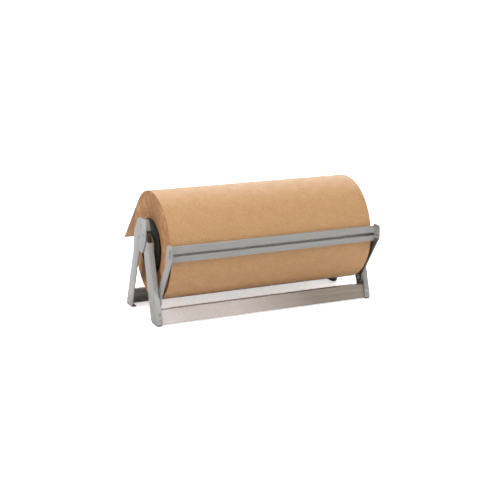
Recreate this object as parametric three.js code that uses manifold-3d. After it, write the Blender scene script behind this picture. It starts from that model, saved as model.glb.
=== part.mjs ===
// Countertop paper roll dispenser with a sprung cutter bar.
//
// Two sheet metal A-frames joined by two crossbars carry a shaft, and the shaft carries a full roll of
// kraft paper. Two arms hinged low on the front legs press a grooved cutter bar against the front of the roll.
//
// Axes: X runs along the roll, -Y is the front, +Z is up. Sizes are in millimetres.
// Heights are measured from the counter and depths from the roll's axis, until the finished model is
// centred over its own footprint at the end of the file.

import * as THREE from "three";
import { mergeVertices } from "three/addons/utils/BufferGeometryUtils.js";
import Module from "manifold-3d";

const wasm = await Module();
wasm.setup();

// ---------------------------------------------------------------- driving dimensions

const GAP = 0.3; // clearance between pieces that touch
const SHEET = 2.5; // gauge of the legs
const LIGHT_SHEET = 2; // gauge of the crossbars
const THIN_SHEET = 1.6; // gauge of the cutter bar and the corner gussets

const ROLL_RADIUS = 114.3; // a nine inch roll
const ROLL_HALF = 228.6; // half of eighteen inches
const AXIS_HEIGHT = 151; // roll axis above the counter

const HEAD_OUTER = 252; // outer face of the side plates, from the middle of the stand
const HEAD_INNER = HEAD_OUTER - SHEET;
const LEG_OUTER = HEAD_INNER - GAP; // the front legs lie inside the side plates
const LEG_INNER = LEG_OUTER - SHEET;
const FLANGE_WIDTH = 11; // depth of the flanges folded inwards

const PAD_HEIGHT = 2; // feet under the legs
const FOOT = PAD_HEIGHT + GAP; // underside of the legs
const FLANGE_TOP = 165; // top of a front leg's front flange

const PIVOT = [-56, 46]; // hinge of the cutter arms: depth and height
const PIVOT_RADIUS = 4;
const RUNNING = 0.1; // radial clearance round a turning pin

const ARM_INNER = 234;
const ARM_OUTER = ARM_INNER + 3;

const BAR_FRONT = -120.5;
const BAR_TOP = 173.4;
const BAR_BOTTOM = 141;

const SHAFT_RADIUS = 6.35; // a half inch rod
const CORE_RADIUS = 25;
const CORE_BORE = 20;
const CORE_HALF = 234;
const PLUG_LENGTH = 30;

const TAIL_LENGTH = 147; // straight run of loose paper behind the roll
const TAIL_THICKNESS = 0.8;

// Edges of the legs, each from the counter line to a point further up, as [depth, height].
const FRONT_LEG_FRONT = [[-83.1, 0], [-34.8, 165]];
const FRONT_LEG_BACK = [[-44.6, 0], [-7, 136.5]];
const REAR_LEG_FRONT = [[72.7, 0], [17.1, 134.7]];
const REAR_LEG_BACK = [[108.8, 0], [50, 136]];

const FRONT_LEAN = Math.atan2(48.3, 165); // how far the front legs lean back
const REAR_LEAN = Math.atan2(58.8, 136); // how far the rear legs lean forward

// ---------------------------------------------------------------- finishes

const finish = (color, roughness, metalness) => new THREE.MeshStandardMaterial({ color, roughness, metalness });

const enamel = finish(0xa7a6a4, 0.5, 0.3);
const steel = finish(0xb9b9bb, 0.35, 0.9);
const springSteel = finish(0x6f6d6a, 0.4, 0.9);
const blackPlastic = finish(0x0c0c0d, 0.55, 0);
const rubber = finish(0x6d6c6a, 0.9, 0);
const kraftPaper = finish(0xc79a6a, 0.85, 0);
const cardboard = finish(0xa77c50, 0.9, 0);
const wood = finish(0xa0744b, 0.7, 0);

// ---------------------------------------------------------------- outlines

/** Point of a leg's edge at height z. */
function at([[y0, z0], [y1, z1]], z) {
  return [y0 + ((y1 - y0) * (z - z0)) / (z1 - z0), z];
}

/** A leg's edge moved sideways in depth by dy. */
function shifted(edge, dy) {
  return edge.map(([y, z]) => [y + dy, z]);
}

/** Points of the arc that rounds corner b, on the way from a to c. */
function corner(a, b, c, radius) {
  const here = new THREE.Vector2(...b);
  const back = new THREE.Vector2(...a).sub(here);
  const ahead = new THREE.Vector2(...c).sub(here);
  const reach = radius / Math.tan(back.angleTo(ahead) / 2);
  const start = here.clone().addScaledVector(back.normalize(), reach);
  const end = here.clone().addScaledVector(ahead.normalize(), reach);
  const middle = back.clone().add(ahead).normalize();
  const centre = here.clone().addScaledVector(middle, Math.hypot(reach, radius));
  const from = start.clone().sub(centre).angle();
  let turn = end.clone().sub(centre).angle() - from;
  turn = Math.atan2(Math.sin(turn), Math.cos(turn));
  const steps = Math.max(2, Math.ceil(Math.abs(turn) / 0.3));
  const points = [];
  for (let i = 0; i <= steps; i += 1) {
    const angle = from + (turn * i) / steps;
    points.push(new THREE.Vector2(centre.x + radius * Math.cos(angle), centre.y + radius * Math.sin(angle)));
  }
  return points;
}

/** Closed shape through [u, v, radius] corners; a radius rounds its corner. */
function outline(corners) {
  const points = [];
  corners.forEach(([u, v, radius], i) => {
    const before = corners.at(i - 1).slice(0, 2);
    const after = corners[(i + 1) % corners.length].slice(0, 2);
    if (radius) points.push(...corner(before, [u, v], after, radius));
    else points.push(new THREE.Vector2(u, v));
  });
  return new THREE.Shape(points);
}

/** Section of a folded sheet: the polyline is one face and the other lies to its left. */
function folded(line, thickness) {
  const path = line.map(([u, v]) => new THREE.Vector2(u, v));
  const normals = path.slice(1).map((p, i) => {
    const along = p.clone().sub(path[i]).normalize();
    return new THREE.Vector2(-along.y, along.x);
  });
  const other = path.map((p, i) => {
    const a = normals[Math.max(i - 1, 0)];
    const b = normals[Math.min(i, normals.length - 1)];
    const mitre = a.clone().add(b).normalize();
    return p.clone().addScaledVector(mitre, thickness / mitre.dot(b));
  });
  return new THREE.Shape([...path, ...other.reverse()]);
}

// ---------------------------------------------------------------- solids

const TO_X = new THREE.Matrix4().makeBasis(
  new THREE.Vector3(0, 1, 0),
  new THREE.Vector3(0, 0, 1),
  new THREE.Vector3(1, 0, 0),
);
const TO_FRONT = new THREE.Matrix4().makeBasis(
  new THREE.Vector3(1, 0, 0),
  new THREE.Vector3(0, 0, 1),
  new THREE.Vector3(0, -1, 0),
);

/** A depth-height shape given thickness along X, between x0 and x1. */
function acrossX(shape, x0, x1) {
  const low = Math.min(x0, x1);
  const geometry = new THREE.ExtrudeGeometry(shape, { depth: Math.abs(x1 - x0), bevelEnabled: false });
  return geometry.applyMatrix4(TO_X).translate(low, 0, 0);
}

/** A width-height shape given thickness in depth, between y0 and y1. */
function acrossY(shape, y0, y1) {
  const geometry = new THREE.ExtrudeGeometry(shape, { depth: Math.abs(y1 - y0), bevelEnabled: false });
  return geometry.applyMatrix4(TO_FRONT).translate(0, Math.max(y0, y1), 0);
}

/** A block between two corners. */
function block([x0, y0, z0], [x1, y1, z1]) {
  const geometry = new THREE.BoxGeometry(Math.abs(x1 - x0), Math.abs(y1 - y0), Math.abs(z1 - z0));
  return geometry.translate((x0 + x1) / 2, (y0 + y1) / 2, (z0 + z1) / 2);
}

/** A closed [radius, distance] profile turned round the X axis. */
function turned(profile, segments = 24) {
  const points = profile.map(([r, x]) => new THREE.Vector2(r, x));
  return new THREE.LatheGeometry(points, segments).rotateZ(-Math.PI / 2);
}

/** A plain rod along X. */
function rod(radius, x0, x1, segments = 24) {
  const [a, b] = [Math.min(x0, x1), Math.max(x0, x1)];
  return turned([[0, a], [radius, a], [radius, b], [0, b]], segments);
}

/** A tube along X. */
function tube(outer, inner, x0, x1, segments) {
  return turned([[inner, x0], [outer, x0], [outer, x1], [inner, x1], [inner, x0]], segments);
}

function toSolid(geometry) {
  const bare = geometry.clone();
  bare.deleteAttribute("normal");
  bare.deleteAttribute("uv");
  const merged = mergeVertices(bare, 1e-4);
  const mesh = new wasm.Mesh({
    numProp: 3,
    vertProperties: new Float32Array(merged.attributes.position.array),
    triVerts: new Uint32Array(merged.index.array),
  });
  return new wasm.Manifold(mesh);
}

function toGeometry(solid) {
  const { vertProperties, triVerts } = solid.getMesh();
  const geometry = new THREE.BufferGeometry();
  geometry.setAttribute("position", new THREE.BufferAttribute(vertProperties, 3));
  geometry.setIndex(new THREE.BufferAttribute(triVerts, 1));
  geometry.computeVertexNormals();
  return geometry;
}

function joined(...geometries) {
  return toGeometry(geometries.map(toSolid).reduce((a, b) => a.add(b)));
}

function cut(geometry, ...tools) {
  return toGeometry(tools.map(toSolid).reduce((a, b) => a.subtract(b), toSolid(geometry)));
}

function common(a, b) {
  return toGeometry(toSolid(a).intersect(toSolid(b)));
}

// ---------------------------------------------------------------- rivets

const RIVET = { shank: 2.2, hole: 2.35, head: 4.1, rise: 1.3, tail: 3.3, tailRise: 0.9, seat: 0.1 };

/** A rivet along X: its shank fills 0 to -grip and its round head stands above 0. */
function rivet(grip) {
  const { shank, head, rise, tail, tailRise, seat } = RIVET;
  const dome = [];
  for (let i = 0; i < 3; i += 1) {
    const angle = (Math.PI / 6) * i;
    dome.push([head * Math.cos(angle), seat + 0.2 + (rise - 0.2) * Math.sin(angle)]);
  }
  dome.push([0, seat + rise]);
  const low = -grip - seat;
  return turned(
    [[0, low - tailRise], [tail, low - tailRise], [tail, low], [shank, low], [shank, seat], [head, seat], ...dome],
    16,
  );
}

function rivetHole(grip) {
  return rod(RIVET.hole, -grip - 5, 5, 16);
}

// ---------------------------------------------------------------- assembly helpers

const model = new THREE.Group();

function add(name, geometry, material, parent = model) {
  const mesh = new THREE.Mesh(geometry, material);
  mesh.name = name;
  parent.add(mesh);
  return mesh;
}

const SIDES = [["left", -1], ["right", 1]];

// Planes of the front and rear legs: in each, Z runs up the leg and Y through its flange.
const frontPlane = new THREE.Group();
frontPlane.position.set(0, FRONT_LEG_FRONT[0][0], 0);
frontPlane.rotation.x = -FRONT_LEAN;
frontPlane.updateMatrix();

const rearPlane = new THREE.Group();
rearPlane.position.set(0, REAR_LEG_BACK[0][0], 0);
rearPlane.rotation.x = REAR_LEAN;
rearPlane.updateMatrix();

model.add(frontPlane, rearPlane);

// Rivets that tie the crossbars to the legs: distance from the middle and height up the leg.
const CORNER_RIVET_X = 243.1;
const CORNER_RIVET_HEIGHTS = [11, 24];

/** Turns a piece made along X so that its head faces out of a leg plane: -1 is front, 1 is rear. */
function facing(geometry, way) {
  return geometry.rotateZ((way * Math.PI) / 2);
}

function cornerHoles(side, plane, way) {
  return CORNER_RIVET_HEIGHTS.map((height) =>
    facing(rivetHole(8), way)
      .translate(side * CORNER_RIVET_X, 0, height)
      .applyMatrix4(plane.matrix),
  );
}

// ---------------------------------------------------------------- rear legs with the side plates

const HOOK_BOTTOM = [-30.6, 189.5];
const HOOK_TOP = [-34.6, 214];
const HEAD_RIVETS = [[-15.5, 177], [16, 167]];

function rearLeg(side) {
  const plate = outline([
    [...at(REAR_LEG_BACK, FOOT), 3],
    [...REAR_LEG_BACK[1], 60],
    [43, 174, 25],
    [16, 210, 22],
    [...HOOK_TOP, 4],
    HOOK_BOTTOM,
    [-26.5, 166, 14],
    [-9, 138.5, 12],
    [...at(REAR_LEG_FRONT, 138.5), 4],
    [...at(REAR_LEG_FRONT, FOOT), 2],
  ]);
  const flangeInner = HEAD_OUTER - FLANGE_WIDTH - 1;
  const backFlange = folded([at(REAR_LEG_BACK, FOOT + 3), at(REAR_LEG_BACK, 134)], SHEET);
  const hookStrip = folded([HOOK_TOP, HOOK_BOTTOM], SHEET);
  const hookFace = outline([
    [side * HEAD_OUTER, HOOK_BOTTOM[1]],
    [side * flangeInner, HOOK_BOTTOM[1]],
    [side * (HEAD_OUTER - 6), HOOK_TOP[1]],
    [side * HEAD_OUTER, HOOK_TOP[1]],
  ]);
  const hook = common(
    acrossX(hookStrip, side * flangeInner, side * HEAD_OUTER),
    acrossY(hookFace, HOOK_TOP[0] - 5, HOOK_BOTTOM[0] + 8),
  );
  const leg = joined(
    acrossX(plate, side * HEAD_INNER, side * HEAD_OUTER),
    acrossX(backFlange, side * flangeInner, side * HEAD_OUTER),
    hook,
  );
  const slot = outline([[-6, 191.5, 1.4], [-3, 191.5, 1.4], [-3, 199.5, 1.4], [-6, 199.5, 1.4]]);
  const holes = HEAD_RIVETS.map(([y, z]) => rod(RIVET.hole, side * 240, side * 256, 16).translate(0, y, z));
  return cut(leg, acrossX(slot, side * 240, side * 256), ...holes, ...cornerHoles(side, rearPlane, 1));
}

// ---------------------------------------------------------------- front legs with the shaft seats

const SEAT_RADIUS = SHAFT_RADIUS + GAP;
const SEAT_TOP = 186;

function frontLeg(side) {
  const web = outline([
    [...at(FRONT_LEG_FRONT, FOOT), 2],
    at(FRONT_LEG_FRONT, FLANGE_TOP),
    [-24, FLANGE_TOP, 2],
    [-22.5, SEAT_TOP, 4],
    [22.5, SEAT_TOP, 5],
    [26, 168, 12],
    [20, 140.5, 14],
    [...at(FRONT_LEG_BACK, 140.5), 4],
    [...at(FRONT_LEG_BACK, FOOT), 2],
  ]);
  const inner = LEG_OUTER - FLANGE_WIDTH;
  const toe = at(FRONT_LEG_FRONT, FOOT + SHEET * Math.sin(FRONT_LEAN));
  const frontFlange = folded([at(FRONT_LEG_FRONT, FLANGE_TOP), toe], SHEET);
  const backFlange = folded([at(FRONT_LEG_BACK, FOOT + 1), at(FRONT_LEG_BACK, 134)], SHEET);
  const seatSlot = outline([
    [-SEAT_RADIUS, AXIS_HEIGHT - SEAT_RADIUS, SEAT_RADIUS - 0.05],
    [SEAT_RADIUS, AXIS_HEIGHT - SEAT_RADIUS, SEAT_RADIUS - 0.05],
    [SEAT_RADIUS, SEAT_TOP + 5],
    [-SEAT_RADIUS, SEAT_TOP + 5],
  ]);
  const leg = joined(
    acrossX(web, side * LEG_INNER, side * LEG_OUTER),
    acrossX(frontFlange, side * inner, side * LEG_OUTER),
    acrossX(backFlange, side * (inner + 2), side * LEG_OUTER),
  );
  const holes = HEAD_RIVETS.map(([y, z]) => rod(RIVET.hole, side * 240, side * 256, 16).translate(0, y, z));
  const pivotHole = rod(PIVOT_RADIUS + RUNNING, side * 242, side * 256).translate(0, ...PIVOT);
  const slot = acrossX(seatSlot, side * 240, side * 256);
  return cut(leg, slot, pivotHole, ...holes, ...cornerHoles(side, frontPlane, -1));
}

// ---------------------------------------------------------------- crossbars

const FRONT_CROSSBAR_TOP = 31.6;
const REAR_CROSSBAR_TOP = 37.8;
const CROSSBAR_DEPTH = 11;
const NOTCH_START = 217; // the front bar is cut lower from here outwards, where the arms come down
const NOTCH_DROP = 1;

/** A channel whose open side faces the other crossbar: way is -1 for the front and 1 for the rear. */
function crossbar(way) {
  const [edge, plane, half, top] = way < 0
    ? [shifted(FRONT_LEG_FRONT, (SHEET + GAP) / Math.cos(FRONT_LEAN)), frontPlane, LEG_INNER - GAP, FRONT_CROSSBAR_TOP]
    : [shifted(REAR_LEG_BACK, -(SHEET + GAP) / Math.cos(REAR_LEAN)), rearPlane, HEAD_INNER - GAP, REAR_CROSSBAR_TOP];
  const [topY, topZ] = at(edge, top);
  const [lowY, lowZ] = at(edge, FOOT);
  const line = [
    [topY - way * CROSSBAR_DEPTH, topZ],
    [topY, topZ],
    [lowY, lowZ],
    [lowY - way * CROSSBAR_DEPTH, lowZ],
  ];
  const channel = acrossX(folded(way < 0 ? line : line.reverse(), LIGHT_SHEET), -half, half);
  const holes = SIDES.flatMap(([, side]) => cornerHoles(side, plane, way));
  const notches = way > 0 ? [] : SIDES.map(([, side]) => {
    const notch = outline([
      [side * NOTCH_START, top + 5],
      [side * NOTCH_START, top - NOTCH_DROP, 0.5],
      [side * 260, top - NOTCH_DROP],
      [side * 260, top + 5],
    ]);
    return acrossY(notch, topY - 20, topY + 20);
  });
  return cut(channel, ...notches, ...holes);
}

// ---------------------------------------------------------------- corner gussets on the front legs

const GUSSET_OUTER = LEG_OUTER - 0.2;
const GUSSET_INNER = LEG_OUTER - FLANGE_WIDTH;
const GUSSET_TOE = GUSSET_INNER - 0.6;

function gusset(side) {
  const face = outline([
    [side * GUSSET_OUTER, 76],
    [side * GUSSET_OUTER, FOOT + 1, 3],
    [side * GUSSET_TOE, FOOT + 1, 4],
    [side * GUSSET_TOE, 22, 2],
    [side * GUSSET_INNER, 27, 2],
    [side * GUSSET_INNER, 58],
  ]);
  const holes = CORNER_RIVET_HEIGHTS.map((height) =>
    facing(rivetHole(8), -1).translate(side * CORNER_RIVET_X, 0, height),
  );
  return cut(acrossY(face, -GAP - THIN_SHEET, -GAP), ...holes);
}

// ---------------------------------------------------------------- torsion springs on the arm pivots

const COIL_RADIUS = 6.2;
const WIRE_RADIUS = 0.9;
const COIL_TURNS = 3;
const COIL_PITCH = 1.9;
const COIL_START = ARM_OUTER + WIRE_RADIUS + 0.4;
const HOOK_HOLE = [-3.7, 9]; // hole in the arm for the spring's hook, from the pivot
const HOOK_BEND = 1.2;
const TAIL_ANGLE = THREE.MathUtils.degToRad(-145); // where the tail leaves the coil
const TAIL_REACH = 7; // length of the tail, which ends against the leg's front flange

/** Centre line of a spring: a hook through the arm, the coil round the pivot and a short tail. */
function springPath(side) {
  const [hookY, hookZ] = HOOK_HOLE;
  const points = [];
  const put = (x, y, z) => points.push(new THREE.Vector3(side * x, y, z));
  const hookAngle = Math.atan2(hookZ, hookY) - Math.acos(COIL_RADIUS / Math.hypot(hookY, hookZ));
  put(ARM_INNER - 1.2, hookY, hookZ);
  for (const bend of [0, Math.PI / 4, Math.PI / 2]) {
    const along = HOOK_BEND * (1 - Math.cos(bend));
    const x = COIL_START - HOOK_BEND * (1 - Math.sin(bend));
    put(x, hookY + along * Math.sin(hookAngle), hookZ - along * Math.cos(hookAngle));
  }
  const turn = hookAngle - TAIL_ANGLE + 2 * Math.PI * COIL_TURNS;
  const steps = 64;
  for (let i = 0; i <= steps; i += 1) {
    const angle = hookAngle - (turn * i) / steps;
    const x = COIL_START + (COIL_PITCH * turn * i) / steps / (2 * Math.PI);
    put(x, COIL_RADIUS * Math.cos(angle), COIL_RADIUS * Math.sin(angle));
  }
  const last = points.at(-1).clone();
  const away = new THREE.Vector3(0, Math.sin(TAIL_ANGLE), -Math.cos(TAIL_ANGLE));
  points.push(last.clone().addScaledVector(away, TAIL_REACH / 2), last.clone().addScaledVector(away, TAIL_REACH));
  return new THREE.CatmullRomCurve3(points, false, "centripetal");
}

function torsionSpring(side) {
  const section = new THREE.Shape().absarc(0, 0, WIRE_RADIUS, 0, 2 * Math.PI);
  return new THREE.ExtrudeGeometry(section, { extrudePath: springPath(side), steps: 120, curveSegments: 3 });
}

// ---------------------------------------------------------------- pivot pins and feet

function pivotPin(side) {
  const profile = [
    [0, 231.9],
    [6, 231.9],
    [6, ARM_INNER - GAP],
    [PIVOT_RADIUS, ARM_INNER - GAP],
    [PIVOT_RADIUS, LEG_OUTER + 0.1],
    [5.4, LEG_OUTER + 0.1],
    [4.8, LEG_OUTER + 0.8],
    [0, LEG_OUTER + 0.8],
  ];
  const pin = turned(profile);
  return side < 0 ? pin.rotateZ(Math.PI) : pin;
}

function footPad(side, front, back, inner, outer) {
  const pad = outline([
    [front, 0, 0],
    [back, 0, 0],
    [back - 1, PAD_HEIGHT, 0],
    [front + 1, PAD_HEIGHT, 0],
  ]);
  return acrossX(pad, side * inner, side * outer);
}

// ---------------------------------------------------------------- cutter: arms, bar and blade

const ARM_WIDTH = 19.2;
const EYE_RADIUS = 13.5;
const ARM_LEAN = (35 * Math.PI) / 180; // forward lean of the arms when closed
const ARM_TOP = [-120, 140]; // where the arm's strip runs into its ear
const EAR_TOP = 177.8;
const EAR_RIVETS = [[-129, 166], [-129, 156]];

function arm(side) {
  const rise = new THREE.Vector2(-Math.sin(ARM_LEAN), Math.cos(ARM_LEAN));
  const backwards = new THREE.Vector2(Math.cos(ARM_LEAN), Math.sin(ARM_LEAN));
  const eye = new THREE.Vector2(...PIVOT);
  const rearFoot = eye.clone().addScaledVector(backwards, EYE_RADIUS - 1);
  const frontFoot = rearFoot.clone().addScaledVector(backwards, -ARM_WIDTH);
  const length = (ARM_TOP[1] - PIVOT[1]) / rise.y;
  const frontTop = frontFoot.clone().addScaledVector(rise, length);
  const rearTop = rearFoot.clone().addScaledVector(rise, length - 12);
  const strip = outline([
    [...frontFoot],
    [...rearFoot],
    [...rearTop],
    [...frontTop],
  ]);
  const ear = outline([
    [...rearTop],
    [-102.5, 146, 8],
    [-106, 164, 10],
    [-115.5, EAR_TOP, 6],
    [-137.5, EAR_TOP, 6],
    [-137, 149, 6],
    [...frontTop],
    [-118, 130],
  ]);
  const body = joined(
    rod(EYE_RADIUS, side * ARM_INNER, side * ARM_OUTER, 40).translate(0, ...PIVOT),
    acrossX(strip, side * ARM_INNER, side * ARM_OUTER),
    acrossX(ear, side * ARM_INNER, side * ARM_OUTER),
  );
  const holes = EAR_RIVETS.map(([y, z]) => rod(RIVET.hole, side * 230, side * 240, 16).translate(0, y, z));
  const pivotHole = rod(PIVOT_RADIUS + RUNNING, side * 230, side * 240).translate(0, ...PIVOT);
  const hookHole = rod(WIRE_RADIUS + 0.4, side * 230, side * 240, 12);
  hookHole.translate(0, PIVOT[0] + HOOK_HOLE[0], PIVOT[1] + HOOK_HOLE[1]);
  return cut(body, pivotHole, hookHole, ...holes);
}

const BAR_HALF = ARM_INNER - GAP;
const GROOVE = { centre: 155.4, half: 3.2, depth: 3.8, bead: 1 };
const TAB_FRONT = -136;

function cutterBar() {
  const { centre, half, depth, bead } = GROOVE;
  const section = folded(
    [
      [BAR_FRONT + 5.7, BAR_TOP],
      [BAR_FRONT, BAR_TOP],
      [BAR_FRONT, centre + half + 4],
      [BAR_FRONT - bead, centre + half + 2],
      [BAR_FRONT - bead, centre + half + 0.4],
      [BAR_FRONT + depth, centre + 1],
      [BAR_FRONT + depth, centre - 1],
      [BAR_FRONT, centre - half],
      [BAR_FRONT, BAR_BOTTOM],
    ],
    THIN_SHEET,
  );
  const tabs = SIDES.map(([, side]) =>
    block([side * (BAR_HALF - THIN_SHEET), TAB_FRONT, 149], [side * BAR_HALF, BAR_FRONT + THIN_SHEET, 171]),
  );
  const holes = SIDES.flatMap(([, side]) =>
    EAR_RIVETS.map(([y, z]) => rod(RIVET.hole, side * 226, side * 238, 16).translate(0, y, z)),
  );
  const punched = outline([[219.5, centre - 2], [225.5, centre - 2], [222.5, centre + 3.4]]);
  const bar = joined(acrossX(section, -BAR_HALF, BAR_HALF), ...tabs);
  return cut(bar, ...holes, acrossY(punched, BAR_FRONT - 5, BAR_FRONT + 8));
}

const BLADE_HALF = 228;
const TOOTH_PITCH = 6;
const TOOTH_DEPTH = 1.6;
const BLADE_HEIGHT = 11;
const BLADE_THICKNESS = 0.8;

function cuttingBlade() {
  const tips = BAR_BOTTOM - 0.8;
  const top = tips + BLADE_HEIGHT;
  const points = [new THREE.Vector2(BLADE_HALF, top), new THREE.Vector2(-BLADE_HALF, top)];
  for (let x = -BLADE_HALF; x < BLADE_HALF; x += TOOTH_PITCH) {
    points.push(new THREE.Vector2(x, tips + TOOTH_DEPTH));
    points.push(new THREE.Vector2(x + TOOTH_PITCH / 2, tips));
  }
  points.push(new THREE.Vector2(BLADE_HALF, tips + TOOTH_DEPTH));
  const front = BAR_FRONT + THIN_SHEET + GAP;
  return acrossY(new THREE.Shape(points), front, front + BLADE_THICKNESS);
}

// ---------------------------------------------------------------- roll and shaft

function paperRoll() {
  return tube(ROLL_RADIUS, CORE_RADIUS + RUNNING, -ROLL_HALF, ROLL_HALF, 96);
}

const FLANGE = { radius: 57, rimInner: 50, face: ROLL_HALF + 0.4, web: 3, rim: 5.4 };

/** End disc that keeps the roll square: a flat web with a raised rim, pushed onto the core. */
function rollFlange(side) {
  const { radius, rimInner, face, web, rim } = FLANGE;
  const bore = CORE_RADIUS + 0.15;
  const profile = [
    [bore, face],
    [radius, face],
    [radius, face + rim - 1],
    [radius - 1, face + rim],
    [rimInner + 1, face + rim],
    [rimInner, face + rim - 1],
    [rimInner, face + web],
    [bore, face + web],
    [bore, face],
  ];
  const disc = turned(profile, 64);
  return side < 0 ? disc.rotateZ(Math.PI) : disc;
}

function corePlug(side) {
  const middle = side * (CORE_HALF - 0.5 - PLUG_LENGTH / 2);
  return tube(CORE_BORE - 0.15, SHAFT_RADIUS + RUNNING, middle - PLUG_LENGTH / 2, middle + PLUG_LENGTH / 2, 48);
}

/** Free end of the paper: it leaves the roll on a tangent behind the axis and runs straight down. */
function looseSheet() {
  const radius = ROLL_RADIUS + GAP + 0.2;
  const line = [];
  for (let degrees = 75; degrees >= 45; degrees -= 5) {
    const angle = THREE.MathUtils.degToRad(degrees);
    line.push([radius * Math.cos(angle), AXIS_HEIGHT + radius * Math.sin(angle)]);
  }
  const [y, z] = line.at(-1);
  const run = TAIL_LENGTH * Math.SQRT1_2;
  line.push([y + run, z - run]);
  return acrossX(folded(line, TAIL_THICKNESS), -ROLL_HALF, ROLL_HALF);
}

// ---------------------------------------------------------------- build

for (const [name, side] of SIDES) {
  add(`${name}_rear_leg`, rearLeg(side), enamel);
  add(`${name}_front_leg`, frontLeg(side), enamel);
  add(`${name}_corner_gusset`, gusset(side), enamel, frontPlane);
  add(`${name}_pivot_pin`, pivotPin(side), enamel).position.set(0, ...PIVOT);
  add(`${name}_torsion_spring`, torsionSpring(side), springSteel).position.set(0, ...PIVOT);
  add(`${name}_cutter_arm`, arm(side), enamel);

  HEAD_RIVETS.forEach(([y, z], i) => {
    const piece = add(`${name}_head_rivet_${i + 1}`, rivet(HEAD_OUTER - LEG_INNER), enamel);
    piece.position.set(side * HEAD_OUTER, y, z);
    if (side < 0) piece.rotation.z = Math.PI;
  });
  EAR_RIVETS.forEach(([y, z], i) => {
    const piece = add(`${name}_bar_rivet_${i + 1}`, rivet(ARM_OUTER - BAR_HALF + THIN_SHEET), enamel);
    piece.position.set(side * ARM_OUTER, y, z);
    if (side < 0) piece.rotation.z = Math.PI;
  });
  CORNER_RIVET_HEIGHTS.forEach((height, i) => {
    const frontGrip = GAP + THIN_SHEET + SHEET + GAP + LIGHT_SHEET;
    const frontPiece = add(`${name}_front_corner_rivet_${i + 1}`, facing(rivet(frontGrip), -1), enamel, frontPlane);
    frontPiece.position.set(side * CORNER_RIVET_X, -GAP - THIN_SHEET, height);
    const rearGrip = SHEET + GAP + LIGHT_SHEET;
    const rearPiece = add(`${name}_rear_corner_rivet_${i + 1}`, facing(rivet(rearGrip), 1), enamel, rearPlane);
    rearPiece.position.set(side * CORNER_RIVET_X, 0, height);
  });

  const [frontToe] = at(FRONT_LEG_FRONT, FOOT);
  const [frontHeel] = at(FRONT_LEG_BACK, FOOT);
  const [rearHeel] = at(REAR_LEG_FRONT, FOOT);
  const [rearToe] = at(REAR_LEG_BACK, FOOT);
  add(`${name}_front_foot`, footPad(side, frontToe + 1, frontHeel - 1, LEG_OUTER - FLANGE_WIDTH, LEG_OUTER), rubber);
  add(`${name}_rear_foot`, footPad(side, rearHeel + 1, rearToe - 1, HEAD_OUTER - FLANGE_WIDTH, HEAD_OUTER), rubber);

  add(`${name}_roll_flange`, rollFlange(side), blackPlastic).position.z = AXIS_HEIGHT;
  add(`${name}_core_plug`, corePlug(side), wood).position.z = AXIS_HEIGHT;
}

add("front_crossbar", crossbar(-1), enamel);
add("rear_crossbar", crossbar(1), enamel);
add("cutter_bar", cutterBar(), enamel);
add("cutting_blade", cuttingBlade(), steel);
add("roll_shaft", rod(SHAFT_RADIUS, -248.9, 248.9, 48), steel).position.z = AXIS_HEIGHT;
add("paper_core", tube(CORE_RADIUS, CORE_BORE, -CORE_HALF, CORE_HALF, 48), cardboard).position.z = AXIS_HEIGHT;
add("paper_roll", paperRoll(), kraftPaper).position.z = AXIS_HEIGHT;
add("loose_sheet", looseSheet(), kraftPaper);

// The origin is the middle of the footprint, on the counter.
const bounds = new THREE.Box3().setFromObject(model, true);
model.position.y = -(bounds.min.y + bounds.max.y) / 2;

export default model;
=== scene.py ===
"""The looks of a countertop paper roll dispenser with a hinged cutter bar.

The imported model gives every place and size. Each class below is one sub-assembly: it makes finished meshes
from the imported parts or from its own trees, dresses them, and sets each on the body that it moves with.
Lengths are in metres, X runs along the roll, -Y is the front and Z is up.
"""

import logging
import math
from collections.abc import Callable, Iterable, Sequence
from dataclasses import dataclass, field
from enum import Enum
from functools import partial
from typing import Any

import bmesh
import bpy
from mathutils import Matrix, Vector, noise
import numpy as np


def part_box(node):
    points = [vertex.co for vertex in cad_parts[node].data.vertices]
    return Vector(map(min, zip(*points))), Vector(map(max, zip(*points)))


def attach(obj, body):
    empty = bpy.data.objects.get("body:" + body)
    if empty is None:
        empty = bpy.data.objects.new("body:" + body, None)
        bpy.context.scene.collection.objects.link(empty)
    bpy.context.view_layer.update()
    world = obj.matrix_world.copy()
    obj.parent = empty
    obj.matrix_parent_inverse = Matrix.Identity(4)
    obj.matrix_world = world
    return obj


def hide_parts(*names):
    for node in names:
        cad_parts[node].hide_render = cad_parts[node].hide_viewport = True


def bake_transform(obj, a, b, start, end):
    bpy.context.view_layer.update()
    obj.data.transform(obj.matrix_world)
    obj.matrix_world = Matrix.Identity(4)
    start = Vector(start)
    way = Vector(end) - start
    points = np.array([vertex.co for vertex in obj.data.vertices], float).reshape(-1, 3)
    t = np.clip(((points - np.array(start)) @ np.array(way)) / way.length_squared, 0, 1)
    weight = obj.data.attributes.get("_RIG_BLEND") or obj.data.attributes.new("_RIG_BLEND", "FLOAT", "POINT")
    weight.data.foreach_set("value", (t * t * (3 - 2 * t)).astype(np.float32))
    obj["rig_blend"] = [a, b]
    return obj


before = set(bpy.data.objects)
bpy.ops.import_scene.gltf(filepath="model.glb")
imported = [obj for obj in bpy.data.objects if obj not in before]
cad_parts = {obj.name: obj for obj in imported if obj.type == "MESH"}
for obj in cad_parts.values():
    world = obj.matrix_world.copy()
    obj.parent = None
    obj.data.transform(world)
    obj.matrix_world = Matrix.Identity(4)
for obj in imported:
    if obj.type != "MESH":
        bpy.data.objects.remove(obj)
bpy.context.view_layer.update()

LOG = logging.getLogger("paper_dispenser")
MM = 0.001
SIDES = {"left": -1, "right": 1}
AXIS = (Vector(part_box("paper_roll")[0]) + Vector(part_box("paper_roll")[1])) / 2

Colour = tuple[float, float, float, float]


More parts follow.
